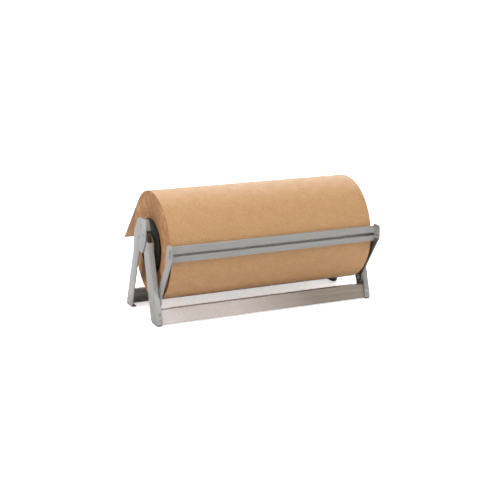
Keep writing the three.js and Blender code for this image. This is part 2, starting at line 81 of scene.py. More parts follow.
class Body(str, Enum):
    """The moving bodies of the dispenser."""

    STAND = "stand"
    CUTTER = "cutter"
    SPINDLE = "spindle"
    ROLL = "roll"


# ---------------------------------------------------------------- node trees


def add_node(
    tree: bpy.types.NodeTree, kind: str, inputs: dict[Any, Any] | None = None, **settings: Any
) -> bpy.types.Node:
    """Adds a node to a tree.

    Args:
        tree: The tree to add to.
        kind: The node's type name.
        inputs: Input name or index to a value, or to the socket that feeds it.
        **settings: Properties of the node itself.

    Returns:
        The new node.
    """
    node = tree.nodes.new(kind)
    for key, value in settings.items():
        setattr(node, key, value)
    for key, value in (inputs or {}).items():
        if isinstance(value, bpy.types.NodeSocket):
            tree.links.new(value, node.inputs[key])
        else:
            node.inputs[key].default_value = value
    return node


def math_node(tree: bpy.types.NodeTree, operation: str, a: Any, b: Any = 0.0, clamp: bool = False) -> Any:
    """Adds a Math node and returns its output socket."""
    return add_node(tree, "ShaderNodeMath", {0: a, 1: b}, operation=operation, use_clamp=clamp).outputs[0]


def vector_node(
    tree: bpy.types.NodeTree, operation: str, a: Any, b: Any = (0.0, 0.0, 0.0), output: str = "Vector"
) -> Any:
    """Adds a Vector Math node and returns one of its output sockets."""
    return add_node(tree, "ShaderNodeVectorMath", {0: a, 1: b}, operation=operation).outputs[output]


def noise_node(tree: bpy.types.NodeTree, place: Any, scale: Any, detail: Any = 2.0) -> Any:
    """Adds noise over a place in space and returns its output socket."""
    inputs = {"Vector": place, "Scale": scale, "Detail": detail}
    return add_node(tree, "ShaderNodeTexNoise", inputs).outputs[0]


def mix_colour(tree: bpy.types.NodeTree, factor: Any, a: Any, b: Any) -> Any:
    """Adds a colour mix of a and b by factor and returns its output socket."""
    return add_node(tree, "ShaderNodeMix", {0: factor, 6: a, 7: b}, data_type="RGBA").outputs[2]


def ranged(
    tree: bpy.types.NodeTree, value: Any, low: Any, high: Any, to_low: float = 0.0, to_high: float = 1.0
) -> Any:
    """Maps the range low to high of a value onto to_low to to_high, held at both ends.

    Args:
        tree: The tree to add to.
        value: The socket to map.
        low: Where the range starts; it may be above high.
        high: Where the range ends.
        to_low: The result at low.
        to_high: The result at high.

    Returns:
        The output socket.
    """
    inputs = {"Value": value, "From Min": low, "From Max": high, "To Min": to_low, "To Max": to_high}
    return add_node(tree, "ShaderNodeMapRange", inputs).outputs[0]


def new_group(
    name: str, kind: str, inputs: Sequence[tuple[str, str, Any]], outputs: Sequence[tuple[str, str]]
) -> tuple[bpy.types.NodeTree, Any, Any]:
    """Starts a node group.

    Args:
        name: The group's name.
        kind: ShaderNodeTree or GeometryNodeTree.
        inputs: Name, socket type and starting value of each input; a value of None sets none.
        outputs: Name and socket type of each output.

    Returns:
        The tree, the sockets that its inputs come in by and the sockets that its outputs leave by.
    """
    tree = bpy.data.node_groups.new(name, kind)
    for label, socket_type, value in inputs:
        socket = tree.interface.new_socket(name=label, in_out="INPUT", socket_type=socket_type)
        if value is not None:
            socket.default_value = value
    for label, socket_type in outputs:
        tree.interface.new_socket(name=label, in_out="OUTPUT", socket_type=socket_type)
    return tree, tree.nodes.new("NodeGroupInput").outputs, tree.nodes.new("NodeGroupOutput").inputs


def dress(tree: bpy.types.NodeTree, given: Any, result: Any, geometry: Any) -> None:
    """Ends a geometry tree: its instances made real, shaded smooth and set in its material.

    Args:
        tree: The tree to end.
        given: The sockets that its inputs come in by; one is Material.
        result: The sockets that its outputs leave by; one is Geometry.
        geometry: The socket of the finished shape.
    """
    real = add_node(tree, "GeometryNodeRealizeInstances", {"Geometry": geometry}).outputs[0]
    smooth = add_node(tree, "GeometryNodeSetShadeSmooth", {"Geometry": real}).outputs[0]
    dressed = add_node(tree, "GeometryNodeSetMaterial", {"Geometry": smooth, "Material": given["Material"]})
    tree.links.new(dressed.outputs[0], result["Geometry"])


# ---------------------------------------------------------------- effects shared by several finishes


class Effects:
    """Shader groups that several finishes place with their own values."""

    def __init__(self) -> None:
        """Builds each group once."""
        self.mottle = self._mottle()
        self.rings = self._rings()
        self.wear = self._wear()
        self.dust_and_shade = self._dust_and_shade()

    @staticmethod
    def _mottle() -> bpy.types.NodeTree:
        """Uneven patches: noise between two levels, stretched along any axis.

        Returns:
            The group.
        """
        tree, given, result = new_group(
            "mottle",
            "ShaderNodeTree",
            [
                ("Place", "NodeSocketVector", None),
                ("Stretch", "NodeSocketVector", (1.0, 1.0, 1.0)),
                ("Scale", "NodeSocketFloat", 100.0),
                ("Detail", "NodeSocketFloat", 3.0),
                ("Low", "NodeSocketFloat", 0.35),
                ("High", "NodeSocketFloat", 0.65),
            ],
            [("Mask", "NodeSocketFloat")],
        )
        place = vector_node(tree, "MULTIPLY", given["Place"], given["Stretch"])
        patches = noise_node(tree, place, given["Scale"], given["Detail"])
        tree.links.new(ranged(tree, patches, given["Low"], given["High"]), result["Mask"])
        return tree

    @staticmethod
    def _rings() -> bpy.types.NodeTree:
        """Rings round the roll's axis, for wound paper, wound board and turned wood.

        Returns:
            The group.
        """
        tree, given, result = new_group(
            "rings",
            "ShaderNodeTree",
            [
                ("Place", "NodeSocketVector", None),
                ("Scale", "NodeSocketFloat", 500.0),
                ("Waviness", "NodeSocketFloat", 0.0),
                ("Low", "NodeSocketFloat", 0.35),
                ("High", "NodeSocketFloat", 0.65),
            ],
            [("Mask", "NodeSocketFloat"), ("Radius", "NodeSocketFloat")],
        )
        across = vector_node(tree, "MULTIPLY", given["Place"], (0.0, 1.0, 1.0))
        radius = vector_node(tree, "LENGTH", across, output="Value")
        wander = noise_node(tree, given["Place"], 30.0)
        distance = math_node(tree, "ADD", radius, math_node(tree, "MULTIPLY", wander, given["Waviness"]))
        bands = add_node(
            tree,
            "ShaderNodeTexNoise",
            {"W": distance, "Scale": given["Scale"], "Detail": 4.0, "Roughness": 0.65},
            noise_dimensions="1D",
        )
        tree.links.new(ranged(tree, bands.outputs[0], given["Low"], given["High"]), result["Mask"])
        tree.links.new(radius, result["Radius"])
        return tree

    @staticmethod
    def _wear() -> bpy.types.NodeTree:
        """Rubbed edges: the edge faces that were stored on the mesh, broken up by noise.

        Returns:
            The group.
        """
        tree, given, result = new_group(
            "edge_wear",
            "ShaderNodeTree",
            [
                ("Place", "NodeSocketVector", None),
                ("Edge", "NodeSocketFloat", 0.0),
                ("Amount", "NodeSocketFloat", 0.5),
            ],
            [("Mask", "NodeSocketFloat")],
        )
        broken = ranged(tree, noise_node(tree, given["Place"], 160.0, 4.0), 0.48, 0.62)
        on_edge = math_node(tree, "MULTIPLY", broken, given["Edge"])
        tree.links.new(math_node(tree, "MULTIPLY", on_edge, given["Amount"], clamp=True), result["Mask"])
        return tree

    @staticmethod
    def _dust_and_shade() -> bpy.types.NodeTree:
        """Paper dusting or dirt on faces that look up; fed a dark colour, the same mask paints shade, as
        under the roll on the crossbar's top flange.

        Returns:
            The group.
        """
        tree, given, result = new_group(
            "dust_and_shade",
            "ShaderNodeTree",
            [
                ("Place", "NodeSocketVector", None),
                ("Normal", "NodeSocketVector", None),
                ("Amount", "NodeSocketFloat", 0.3),
            ],
            [("Mask", "NodeSocketFloat")],
        )
        facing = add_node(tree, "ShaderNodeSeparateXYZ", {0: given["Normal"]}).outputs["Z"]
        upward = ranged(tree, facing, 0.6, 1.0)
        lying = ranged(tree, noise_node(tree, given["Place"], 220.0, 5.0), 0.4, 0.75)
        settled = math_node(tree, "MULTIPLY", upward, lying)
        tree.links.new(math_node(tree, "MULTIPLY", settled, given["Amount"], clamp=True), result["Mask"])
        return tree


class Coat:
    """A material under construction: its Principled shader and short calls for its layers."""

    def __init__(self, name: str) -> None:
        """Starts a material that has only its Principled shader.

        Args:
            name: The material's name.
        """
        self.material = bpy.data.materials.new(name)
        self.material.use_nodes = True
        self.tree = self.material.node_tree
        self.tree.nodes.clear()
        self.shader = add_node(self.tree, "ShaderNodeBsdfPrincipled")
        add_node(self.tree, "ShaderNodeOutputMaterial", {"Surface": self.shader.outputs[0]})
        self.place = add_node(self.tree, "ShaderNodeTexCoord").outputs["Object"]

    def plain(self, **values: Any) -> None:
        """Sets sockets that are the same all over; underscores stand for spaces."""
        for key, value in values.items():
            self.shader.inputs[key.replace("_", " ")].default_value = value

    def effect(self, group: bpy.types.NodeTree, output: str = "Mask", **values: Any) -> Any:
        """Places a shared effect and returns one of its outputs."""
        inputs = {"Place": self.place, **values}
        return add_node(self.tree, "ShaderNodeGroup", inputs, node_tree=group).outputs[output]

    def about_axis(self) -> None:
        """Centres the patterns on the roll's axis."""
        inputs = {"Vector": self.place, "Location": (0.0, -AXIS.y, -AXIS.z)}
        self.place = add_node(self.tree, "ShaderNodeMapping", inputs).outputs[0]

    def blend(self, mask: Any, under: Any, over: Any) -> Any:
        """Lays colour over onto colour under where mask is high, and returns the result."""
        return mix_colour(self.tree, mask, under, over)

    def between(self, mask: Any, low: float, high: float) -> Any:
        """Maps a mask to the range low to high."""
        return ranged(self.tree, mask, 0.0, 1.0, low, high)

    def product(self, a: Any, b: Any) -> Any:
        """Multiplies two masks."""
        return math_node(self.tree, "MULTIPLY", a, b)

    def split(self, vector: Any) -> Any:
        """The X, Y and Z output sockets of a vector."""
        return add_node(self.tree, "ShaderNodeSeparateXYZ", {0: vector}).outputs

    def colour(self, socket: Any) -> None:
        """Feeds the base colour."""
        self.tree.links.new(socket, self.shader.inputs["Base Color"])

    def roughness(self, socket: Any) -> None:
        """Feeds the roughness."""
        self.tree.links.new(socket, self.shader.inputs["Roughness"])

    def metallic(self, socket: Any) -> None:
        """Feeds the metallic amount."""
        self.tree.links.new(socket, self.shader.inputs["Metallic"])

    def relief(self, height: Any, depth: float) -> None:
        """Feeds the normal with a bump of that depth in metres."""
        bump = add_node(self.tree, "ShaderNodeBump", {"Height": height, "Distance": depth})
        self.tree.links.new(bump.outputs[0], self.shader.inputs["Normal"])

    def stored(self, name: str) -> Any:
        """A value stored on the mesh, such as edge, which is 1 on rounded edges."""
        return add_node(self.tree, "ShaderNodeAttribute", attribute_name=name).outputs["Fac"]

    def normal(self) -> Any:
        """The surface normal."""
        return add_node(self.tree, "ShaderNodeNewGeometry").outputs["Normal"]


# ---------------------------------------------------------------- finishes


@dataclass(frozen=True)
class Enamel:
    """Baked grey enamel on pressed steel, with fine orange peel, rubbed edges and a little paper dusting on
    faces that look up; given a dark colour, that upward mask paints shade instead.

    An optional painted light falloff runs along X from its first colour to its second, over its span.
    Optional painted inner shade darkens the faces that look to the middle of the stand, by one amount below
    its height span and another above. An optional painted shade darkens a level band at a given height, half
    its width to each side.
    """

    name: str = "grey_enamel"
    colour: Colour = (0.335, 0.33, 0.32, 1.0)
    patches: Colour = (0.345, 0.337, 0.325, 1.0)
    bare: Colour = (0.52, 0.51, 0.50, 1.0)
    # Paper dusting on faces that look up; a dark colour here paints shade instead.
    dust_and_shade: Colour = (0.50, 0.42, 0.32, 1.0)
    dust_and_shade_amount: float = 0.35
    speckle: float = 0.3
    # Painted light: colour falling off along X, from the first colour to the second.
    light_falloff: tuple[Colour, Colour] | None = None
    light_falloff_span: tuple[float, float] = (-0.075, 0.135)
    light_falloff_wander: float = 0.12
    # Painted shade on the faces that look to the middle of the stand, darkest low down.
    inner_painted_shade: Colour | None = None
    inward_span: tuple[float, float] = (-0.05, -0.18)
    inner_shade_heights: tuple[float, float] = (0.14, 0.16)
    inner_shade_amounts: tuple[float, float] = (0.92, 0.35)
    # Painted shade in a level band, here along the bar's groove.
    groove_shade_at: float | None = None
    groove_shade_half: float = 2.2 * MM
    groove_shade: Colour = (0.17, 0.165, 0.145, 1.0)

    def build(self, effects: Effects) -> bpy.types.Material:
        """Builds the material.

        Args:
            effects: The shared effects.

        Returns:
            The material.
        """
        coat = Coat(self.name)
        coat.plain(Coat_Weight=0.25, Coat_Roughness=0.22, Specular_IOR_Level=0.5)
        broad = coat.effect(effects.mottle, Scale=14.0, Low=0.3, High=0.7)
        fine = coat.effect(effects.mottle, Scale=330.0, Detail=2.0, Low=0.42, High=0.72)
        worn = coat.effect(effects.wear, Edge=coat.stored("edge"), Amount=0.55)
        dust_and_shade_mask = coat.effect(effects.dust_and_shade, Normal=coat.normal(), Amount=self.dust_and_shade_amount)
        colour = self._ground(coat, broad)
        colour = coat.blend(coat.between(fine, 0.0, self.speckle), colour, self.patches)
        if self.inner_painted_shade is not None:
            colour = coat.blend(self._inside(coat), colour, self.inner_painted_shade)
        if self.groove_shade_at is not None:
            colour = coat.blend(self._band(coat, fine), colour, self.groove_shade)
        colour = coat.blend(worn, colour, self.bare)
        coat.colour(coat.blend(dust_and_shade_mask, colour, self.dust_and_shade))
        coat.metallic(coat.between(worn, 0.0, 0.8))
        coat.roughness(coat.between(broad, 0.36, 0.46))
        coat.relief(coat.effect(effects.mottle, Scale=650.0, Detail=1.5, Low=0.2, High=0.8), 0.05 * MM)
        return coat.material

    def _ground(self, coat: Coat, broad: Any) -> Any:
        """Makes the colour under the speckle: patchy, or with painted light that falls off along X.

        Args:
            coat: The material under construction.
            broad: Mask of broad patches.

        Returns:
            The colour's socket.
        """
        if self.light_falloff is None:
            return coat.blend(broad, self.colour, self.patches)
        share = ranged(coat.tree, coat.split(coat.place)["X"], *self.light_falloff_span)
        wandering = math_node(coat.tree, "ADD", share, coat.product(broad, self.light_falloff_wander), clamp=True)
        return coat.blend(wandering, *self.light_falloff)

    def _inside(self, coat: Coat) -> Any:
        """Makes the mask of painted shade on the faces that look to the middle of the stand.

        Args:
            coat: The material under construction.

        Returns:
            The mask's socket.
        """
        here = coat.split(coat.place)
        outward_reach = coat.product(here["X"], coat.split(coat.normal())["X"])
        inward = ranged(coat.tree, outward_reach, *self.inward_span)
        return coat.product(inward, ranged(coat.tree, here["Z"], *self.inner_shade_heights, *self.inner_shade_amounts))

    def _band(self, coat: Coat, fine: Any) -> Any:
        """Makes the mask of the level band of painted shade.

        Args:
            coat: The material under construction.
            fine: Mask that breaks the band up a little.

        Returns:
            The mask's socket.
        """
        above = math_node(coat.tree, "SUBTRACT", coat.split(coat.place)["Z"], self.groove_shade_at)
        away = math_node(coat.tree, "ABSOLUTE", above)
        band = ranged(coat.tree, away, self.groove_shade_half, self.groove_shade_half / 2)
        return coat.product(band, coat.between(fine, 0.9, 0.6))


@dataclass(frozen=True)
class Kraft:
    """Brown kraft paper: cloudy fibre, fine specks, faint streaks along the web and a darker strip along the
    cut edge.
    """

    colour: Colour = (0.56, 0.315, 0.139, 1.0)
    cloud: Colour = (0.515, 0.282, 0.122, 1.0)
    speck: Colour = (0.40, 0.21, 0.088, 1.0)
    fibre: Colour = (0.66, 0.42, 0.225, 1.0)
    edge_strip_colour: Colour = (0.2, 0.1, 0.045, 1.0)
    edge_strip_amount: float = 0.85

    def build(self, effects: Effects) -> bpy.types.Material:
        """Builds the material, whose pattern follows the sheet's own flat map.

        Args:
            effects: The shared effects.

        Returns:
            The material.
        """
        coat = Coat("kraft_paper")
        coat.plain(Sheen_Weight=0.05, Sheen_Roughness=0.5, Specular_IOR_Level=0.5)
        coat.place = add_node(coat.tree, "ShaderNodeUVMap", uv_map="flat").outputs[0]
        clouds = coat.effect(effects.mottle, Scale=48.0, Detail=5.0, Low=0.3, High=0.7)
        specks = coat.effect(effects.mottle, Scale=240.0, Detail=2.5, Low=0.5, High=0.7)
        along = (2.2, 0.8, 1.0)
        fibres = coat.effect(effects.mottle, Scale=210.0, Detail=3.0, Low=0.5, High=0.75, Stretch=along)
        colour = coat.blend(clouds, self.colour, self.cloud)
        colour = coat.blend(coat.between(specks, 0.0, 0.5), colour, self.speck)
        colour = coat.blend(coat.between(fibres, 0.0, 0.4), colour, self.fibre)
        # Darkens a strip along the cut edge.
        cut = coat.product(coat.stored("cut"), self.edge_strip_amount)
        coat.colour(coat.blend(cut, colour, self.edge_strip_colour))
        coat.roughness(coat.between(clouds, 0.5, 0.62))
        coat.relief(fibres, 0.06 * MM)
        return coat.material


@dataclass(frozen=True)
class WoundPaper:
    """The cut ends of the wound paper: thin rings, dents and scuffs, with painted shade a little darker by
    the hub.
    """

    colour: Colour = (0.55, 0.285, 0.128, 1.0)
    ring: Colour = (0.34, 0.158, 0.067, 1.0)
    scuff: Colour = (0.68, 0.42, 0.23, 1.0)
    hub_shade: Colour = (0.38, 0.185, 0.08, 1.0)
    hub_radii: tuple[float, float] = (0.055, 0.095)
    hub_amount: float = 0.2

    def build(self, effects: Effects) -> bpy.types.Material:
        """Builds the material.

        Args:
            effects: The shared effects.

        Returns:
            The material.
        """
        coat = Coat("wound_paper_ends")
        coat.plain(Specular_IOR_Level=0.25)
        coat.about_axis()
        fine = coat.effect(effects.rings, Scale=900.0, Waviness=0.0006, Low=0.3, High=0.7)
        wide = coat.effect(effects.rings, Scale=110.0, Waviness=0.002, Low=0.35, High=0.75)
        scuffs = coat.effect(effects.mottle, Scale=60.0, Detail=5.0, Low=0.48, High=0.66)
        dents = coat.effect(effects.mottle, Scale=110.0, Detail=4.0, Low=0.52, High=0.68)
        radius = coat.effect(effects.rings, output="Radius")
        # Painted shade of the flanges and legs, darker near the hub.
        hub_shade_mask = ranged(coat.tree, radius, *self.hub_radii, self.hub_amount, 0.0)
        colour = coat.blend(hub_shade_mask, self.colour, self.hub_shade)
        colour = coat.blend(coat.between(fine, 0.0, 0.6), colour, self.ring)
        colour = coat.blend(coat.between(wide, 0.0, 0.5), colour, self.ring)
        colour = coat.blend(coat.between(dents, 0.0, 0.35), colour, self.ring)
        coat.colour(coat.blend(coat.between(scuffs, 0.0, 0.5), colour, self.scuff))
        coat.roughness(coat.between(fine, 0.78, 0.92))
        coat.relief(math_node(coat.tree, "ADD", fine, scuffs), 0.2 * MM)
        return coat.material


@dataclass(frozen=True)
class Moulding:
    """Matt moulded plastic or rubber with a fine spark-eroded texture."""

    name: str
    colour: Colour
    haze: Colour
    rough: tuple[float, float]
    texture: float = 0.06 * MM
    dust_and_shade: Colour = (0.30, 0.25, 0.19, 1.0)

    def build(self, effects: Effects) -> bpy.types.Material:
        """Builds the material.

        Args:
            effects: The shared effects.

        Returns:
            The material.
        """
        coat = Coat(self.name)
        coat.plain(Specular_IOR_Level=0.3)
        grain = coat.effect(effects.mottle, Scale=1100.0, Detail=2.0, Low=0.3, High=0.7)
        rubbed = coat.effect(effects.mottle, Scale=70.0, Detail=4.0, Low=0.5, High=0.75)
        dust_and_shade_mask = coat.effect(effects.dust_and_shade, Normal=coat.normal(), Amount=0.3)
        worn = coat.effect(effects.wear, Edge=coat.stored("edge"), Amount=0.6)
        colour = coat.blend(coat.between(rubbed, 0.0, 0.6), self.colour, self.haze)
        colour = coat.blend(worn, colour, self.haze)
        coat.colour(coat.blend(dust_and_shade_mask, colour, self.dust_and_shade))
        coat.roughness(coat.between(rubbed, *self.rough))
        coat.relief(grain, self.texture)
        return coat.material


@dataclass(frozen=True)
class Steel:
    """Bare steel with stains, and fine drawing or grinding marks stretched by marks."""

    name: str
    colour: Colour
    tarnish: Colour
    marks: tuple[float, float, float]
    rough: tuple[float, float] = (0.22, 0.42)

    def build(self, effects: Effects) -> bpy.types.Material:
        """Builds the material.

        Args:
            effects: The shared effects.

        Returns:
            The material.
        """
        coat = Coat(self.name)
        coat.plain(Metallic=1.0, Anisotropic=0.35)
        lines = coat.effect(effects.mottle, Scale=900.0, Detail=3.0, Low=0.3, High=0.7, Stretch=self.marks)
        stains = coat.effect(effects.mottle, Scale=55.0, Detail=5.0, Low=0.45, High=0.7)
        colour = coat.blend(coat.between(stains, 0.0, 0.7), self.colour, self.tarnish)
        coat.colour(coat.blend(coat.between(lines, 0.0, 0.25), colour, self.tarnish))
        coat.roughness(coat.between(lines, *self.rough))
        coat.relief(lines, 0.02 * MM)
        return coat.material


@dataclass(frozen=True)
class Wound:
    """Wound board or turned wood at the roll's heart, ringed round its axis."""

    name: str
    colour: Colour
    dark: Colour
    ring_scale: float
    waviness: float

    def build(self, effects: Effects) -> bpy.types.Material:
        """Builds the material.

        Args:
            effects: The shared effects.

        Returns:
            The material.
        """
        coat = Coat(self.name)
        coat.plain(Specular_IOR_Level=0.3)
        coat.about_axis()
        rings = coat.effect(effects.rings, Scale=self.ring_scale, Waviness=self.waviness, Low=0.35, High=0.7)
        along = (0.15, 1.0, 1.0)
        fibre = coat.effect(effects.mottle, Scale=400.0, Detail=4.0, Low=0.35, High=0.75, Stretch=along)
        colour = coat.blend(coat.between(rings, 0.0, 0.8), self.colour, self.dark)
        coat.colour(coat.blend(coat.between(fibre, 0.0, 0.4), colour, self.dark))
        coat.roughness(coat.between(fibre, 0.6, 0.85))
        coat.relief(rings, 0.1 * MM)
        return coat.material


class Finishes:
    """Every finish of the dispenser, built once."""

    def __init__(self) -> None:
        """Builds the shared effects, then the materials."""
        effects = Effects()
        self.enamel = Enamel().build(effects)
        self.kraft = Kraft().build(effects)
        self.wound_paper = WoundPaper().build(effects)
        self.crossbar = Enamel(
            name="crossbar_enamel_painted_light",
            patches=(0.33, 0.31, 0.285, 1.0),
            # Painted shade: the roll's shadow on the crossbar's top flange, through the upward mask.
            dust_and_shade=(0.13, 0.12, 0.10, 1.0),
            dust_and_shade_amount=0.8,
            speckle=0.2,
            # Painted light: bright at the left end, falling off to a dark brown right end, with the paper's
            # warm reflection painted in.
            light_falloff=((0.74, 0.675, 0.645, 1.0), (0.33, 0.275, 0.225, 1.0)),
        ).build(effects)
        # The arms' inner faces get painted shade, darkest along the lower strip.
        self.arm = Enamel(name="arm_enamel_painted_shade", inner_painted_shade=(0.05, 0.044, 0.038, 1.0)).build(effects)
        # A band of painted shade darkens the bar's groove.
        self.bar = Enamel(
            name="bar_enamel_painted_shade",
            colour=(0.345, 0.34, 0.33, 1.0),
            speckle=0.2,
            groove_shade_at=155.2 * MM,
        ).build(effects)
        # A lighter copy of the grey enamel: painted light on the corner plates, which wear the legs' paint.
        self.gusset_painted_light = Enamel(name="gusset_enamel_painted_light", colour=(0.47, 0.46, 0.455, 1.0)).build(effects)
        # A darker copy of the grey enamel: painted shade on the bar rivets' heads.
        self.rivet = Enamel(
            name="rivet_enamel_painted_shade",
            colour=(0.27, 0.265, 0.24, 1.0),
            patches=(0.2, 0.195, 0.175, 1.0),
        ).build(effects)
        self.plastic = Moulding(
            name="black_plastic",
            colour=(0.004, 0.004, 0.0042, 1.0),
            haze=(0.014, 0.0135, 0.013, 1.0),
            rough=(0.5, 0.7),
        ).build(effects)
        self.rubber = Moulding(
            name="foot_rubber",
            colour=(0.13, 0.13, 0.125, 1.0),
            haze=(0.2, 0.195, 0.19, 1.0),
            rough=(0.75, 0.9),
            texture=0.12 * MM,
        ).build(effects)
        self.shaft = Steel(
            name="shaft_steel",
            colour=(0.56, 0.56, 0.57, 1.0),
            tarnish=(0.36, 0.34, 0.32, 1.0),
            marks=(1.5, 0.15, 0.15),
        ).build(effects)
        self.blade = Steel(
            name="blade_steel",
            colour=(0.60, 0.60, 0.61, 1.0),
            tarnish=(0.40, 0.39, 0.38, 1.0),
            marks=(0.1, 1.0, 1.4),
        ).build(effects)
        self.wire = Steel(
            name="spring_wire",
            colour=(0.30, 0.29, 0.28, 1.0),
            tarnish=(0.16, 0.14, 0.12, 1.0),
            marks=(1.0, 1.0, 1.0),
            rough=(0.3, 0.5),
        ).build(effects)
        self.board = Wound(
            name="core_board",
            colour=(0.40, 0.235, 0.12, 1.0),
            dark=(0.27, 0.15, 0.075, 1.0),
            ring_scale=1400.0,
            waviness=0.0,
        ).build(effects)
        self.wood = Wound(
            name="plug_wood",
            colour=(0.36, 0.19, 0.085, 1.0),
            dark=(0.22, 0.105, 0.045, 1.0),
            ring_scale=260.0,
            waviness=0.004,
        ).build(effects)


# ---------------------------------------------------------------- making pieces


def link(name: str, mesh: bpy.types.Mesh) -> bpy.types.Object:
    """Puts a mesh in the scene under a name.

    Args:
        name: The object's name.
        mesh: Its mesh.

    Returns:
        The new object, at the origin.
    """
    piece = bpy.data.objects.new(name, mesh)
    bpy.context.scene.collection.objects.link(piece)
    return piece


def baked(host: bpy.types.Object, name: str) -> bpy.types.Object:
    """Turns an object with modifiers into a plain mesh piece.

    Args:
        host: The object; it is removed.
        name: The new piece's name.

    Returns:
        A new object at the origin with no modifiers.
    """
    depsgraph = bpy.context.evaluated_depsgraph_get()
    depsgraph.update()
    mesh = bpy.data.meshes.new_from_object(host.evaluated_get(depsgraph), depsgraph=depsgraph)
    bpy.data.objects.remove(host)
    mesh.name = name
    return link(name, mesh)


def grown(
    name: str, source: bpy.types.Mesh, tree: bpy.types.NodeTree, values: dict[str, Any]
) -> bpy.types.Object:
    """Runs a geometry tree on a mesh and keeps its result.

    Args:
        name: The piece's name.
        source: The mesh that the tree starts from.
        tree: The geometry tree.
        values: Input name to value.

    Returns:
        The piece, with no modifier left.
    """
    host = link(f"{name}_source", source)
    modifier = host.modifiers.new("build", "NODES")
    modifier.node_group = tree
    for item in tree.interface.items_tree:
        if item.item_type == "SOCKET" and item.in_out == "INPUT" and item.name in values:
            modifier[item.identifier] = values[item.name]
    return baked(host, name)


def merged_copy(node: str) -> bpy.types.Mesh:
    """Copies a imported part's mesh, joins its loose triangles and clears the edges inside its flat faces.

    Args:
        node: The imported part.

    Returns:
        The merged mesh.
    """
    work = bmesh.new()
    work.from_mesh(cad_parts[node].data)
    bmesh.ops.remove_doubles(work, verts=work.verts, dist=0.002 * MM)
    bmesh.ops.dissolve_limit(work, angle_limit=math.radians(0.5), verts=work.verts, edges=work.edges)
    for layer in list(work.loops.layers.uv):
        work.loops.layers.uv.remove(layer)
    mesh = bpy.data.meshes.new(node)
    work.to_mesh(mesh)
    work.free()
    return mesh


def store_edges(mesh: bpy.types.Mesh) -> None:
    """Moves the second material index into a face value named edge.

    Args:
        mesh: A mesh whose rounded edges have the second material.
    """
    marks = [float(face.material_index == 1) for face in mesh.polygons]
    values = mesh.attributes.new("edge", "FLOAT", "FACE")
    values.data.foreach_set("value", marks)
    mesh.polygons.foreach_set("material_index", [0] * len(mesh.polygons))
    mesh.materials.pop(index=1)


def shade(mesh: bpy.types.Mesh, angle: float) -> None:
    """Shades a mesh smooth, except over sharp edges.

    Args:
        mesh: The mesh.
        angle: Edges of more than this many degrees are sharp.
    """
    mesh.polygons.foreach_set("use_smooth", [True] * len(mesh.polygons))
    mesh.set_sharp_from_angle(angle=math.radians(angle))
    mesh.update()


def outward(mesh: bpy.types.Mesh) -> None:
    """Turns every face of a closed mesh outwards.

    Args:
        mesh: The mesh.
    """
    work = bmesh.new()
    work.from_mesh(mesh)
    bmesh.ops.remove_doubles(work, verts=work.verts, dist=0.0001 * MM)
    bmesh.ops.recalc_face_normals(work, faces=work.faces)
    work.to_mesh(mesh)
    work.free()


def extent(node: str, direction: Vector) -> tuple[float, float]:
    """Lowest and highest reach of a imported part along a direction."""
    reach = [vertex.co.dot(direction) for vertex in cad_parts[node].data.vertices]
    return min(reach), max(reach)


def softened(
    name: str, node: str, material: bpy.types.Material, radius: float, smooth: float = 35.0
) -> bpy.types.Object:
    """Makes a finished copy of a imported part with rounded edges.

    Args:
        name: The piece's name.
        node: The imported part.
        material: Its finish.
        radius: Width of the rounding on its edges.
        smooth: Faces that meet at less than this angle in degrees are shaded as one.

    Returns:
        The piece, whose "edge" values are 1 on its rounded edges.
    """
    mesh = merged_copy(node)
    mesh.materials.clear()
    mesh.materials.append(material)
    mesh.materials.append(material)
    mesh.polygons.foreach_set("material_index", [0] * len(mesh.polygons))
    host = link(f"{name}_source", mesh)
    bevel = host.modifiers.new("edges", "BEVEL")
    bevel.width = radius
    bevel.segments = 2
    bevel.limit_method = "ANGLE"
    bevel.angle_limit = math.radians(smooth)
    bevel.use_clamp_overlap = False
    bevel.harden_normals = False
    bevel.material = 1
    piece = baked(host, name)
    store_edges(piece.data)
    shade(piece.data, smooth)
    return piece


def place_piece(piece: bpy.types.Object, body: Body, nodes: Iterable[str]) -> None:
    """Sets a piece on its body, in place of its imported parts.

    Args:
        piece: The finished piece.
        body: The body that it moves with.
        nodes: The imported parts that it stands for.
    """
    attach(piece, body.value)
    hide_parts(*nodes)
    LOG.info("%s: %d faces on %s", piece.name, len(piece.data.polygons), body.value)


@dataclass(frozen=True)
class Maker:
    """Makes softened pieces of one body."""

    body: Body

    def make(self, name: str, node: str, finish: bpy.types.Material, slot: str, radius: float) -> None:
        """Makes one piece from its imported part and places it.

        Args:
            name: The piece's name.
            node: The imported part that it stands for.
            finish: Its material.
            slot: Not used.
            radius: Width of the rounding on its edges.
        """
        place_piece(softened(name, node, finish, radius), self.body, [node])


# ---------------------------------------------------------------- rivets


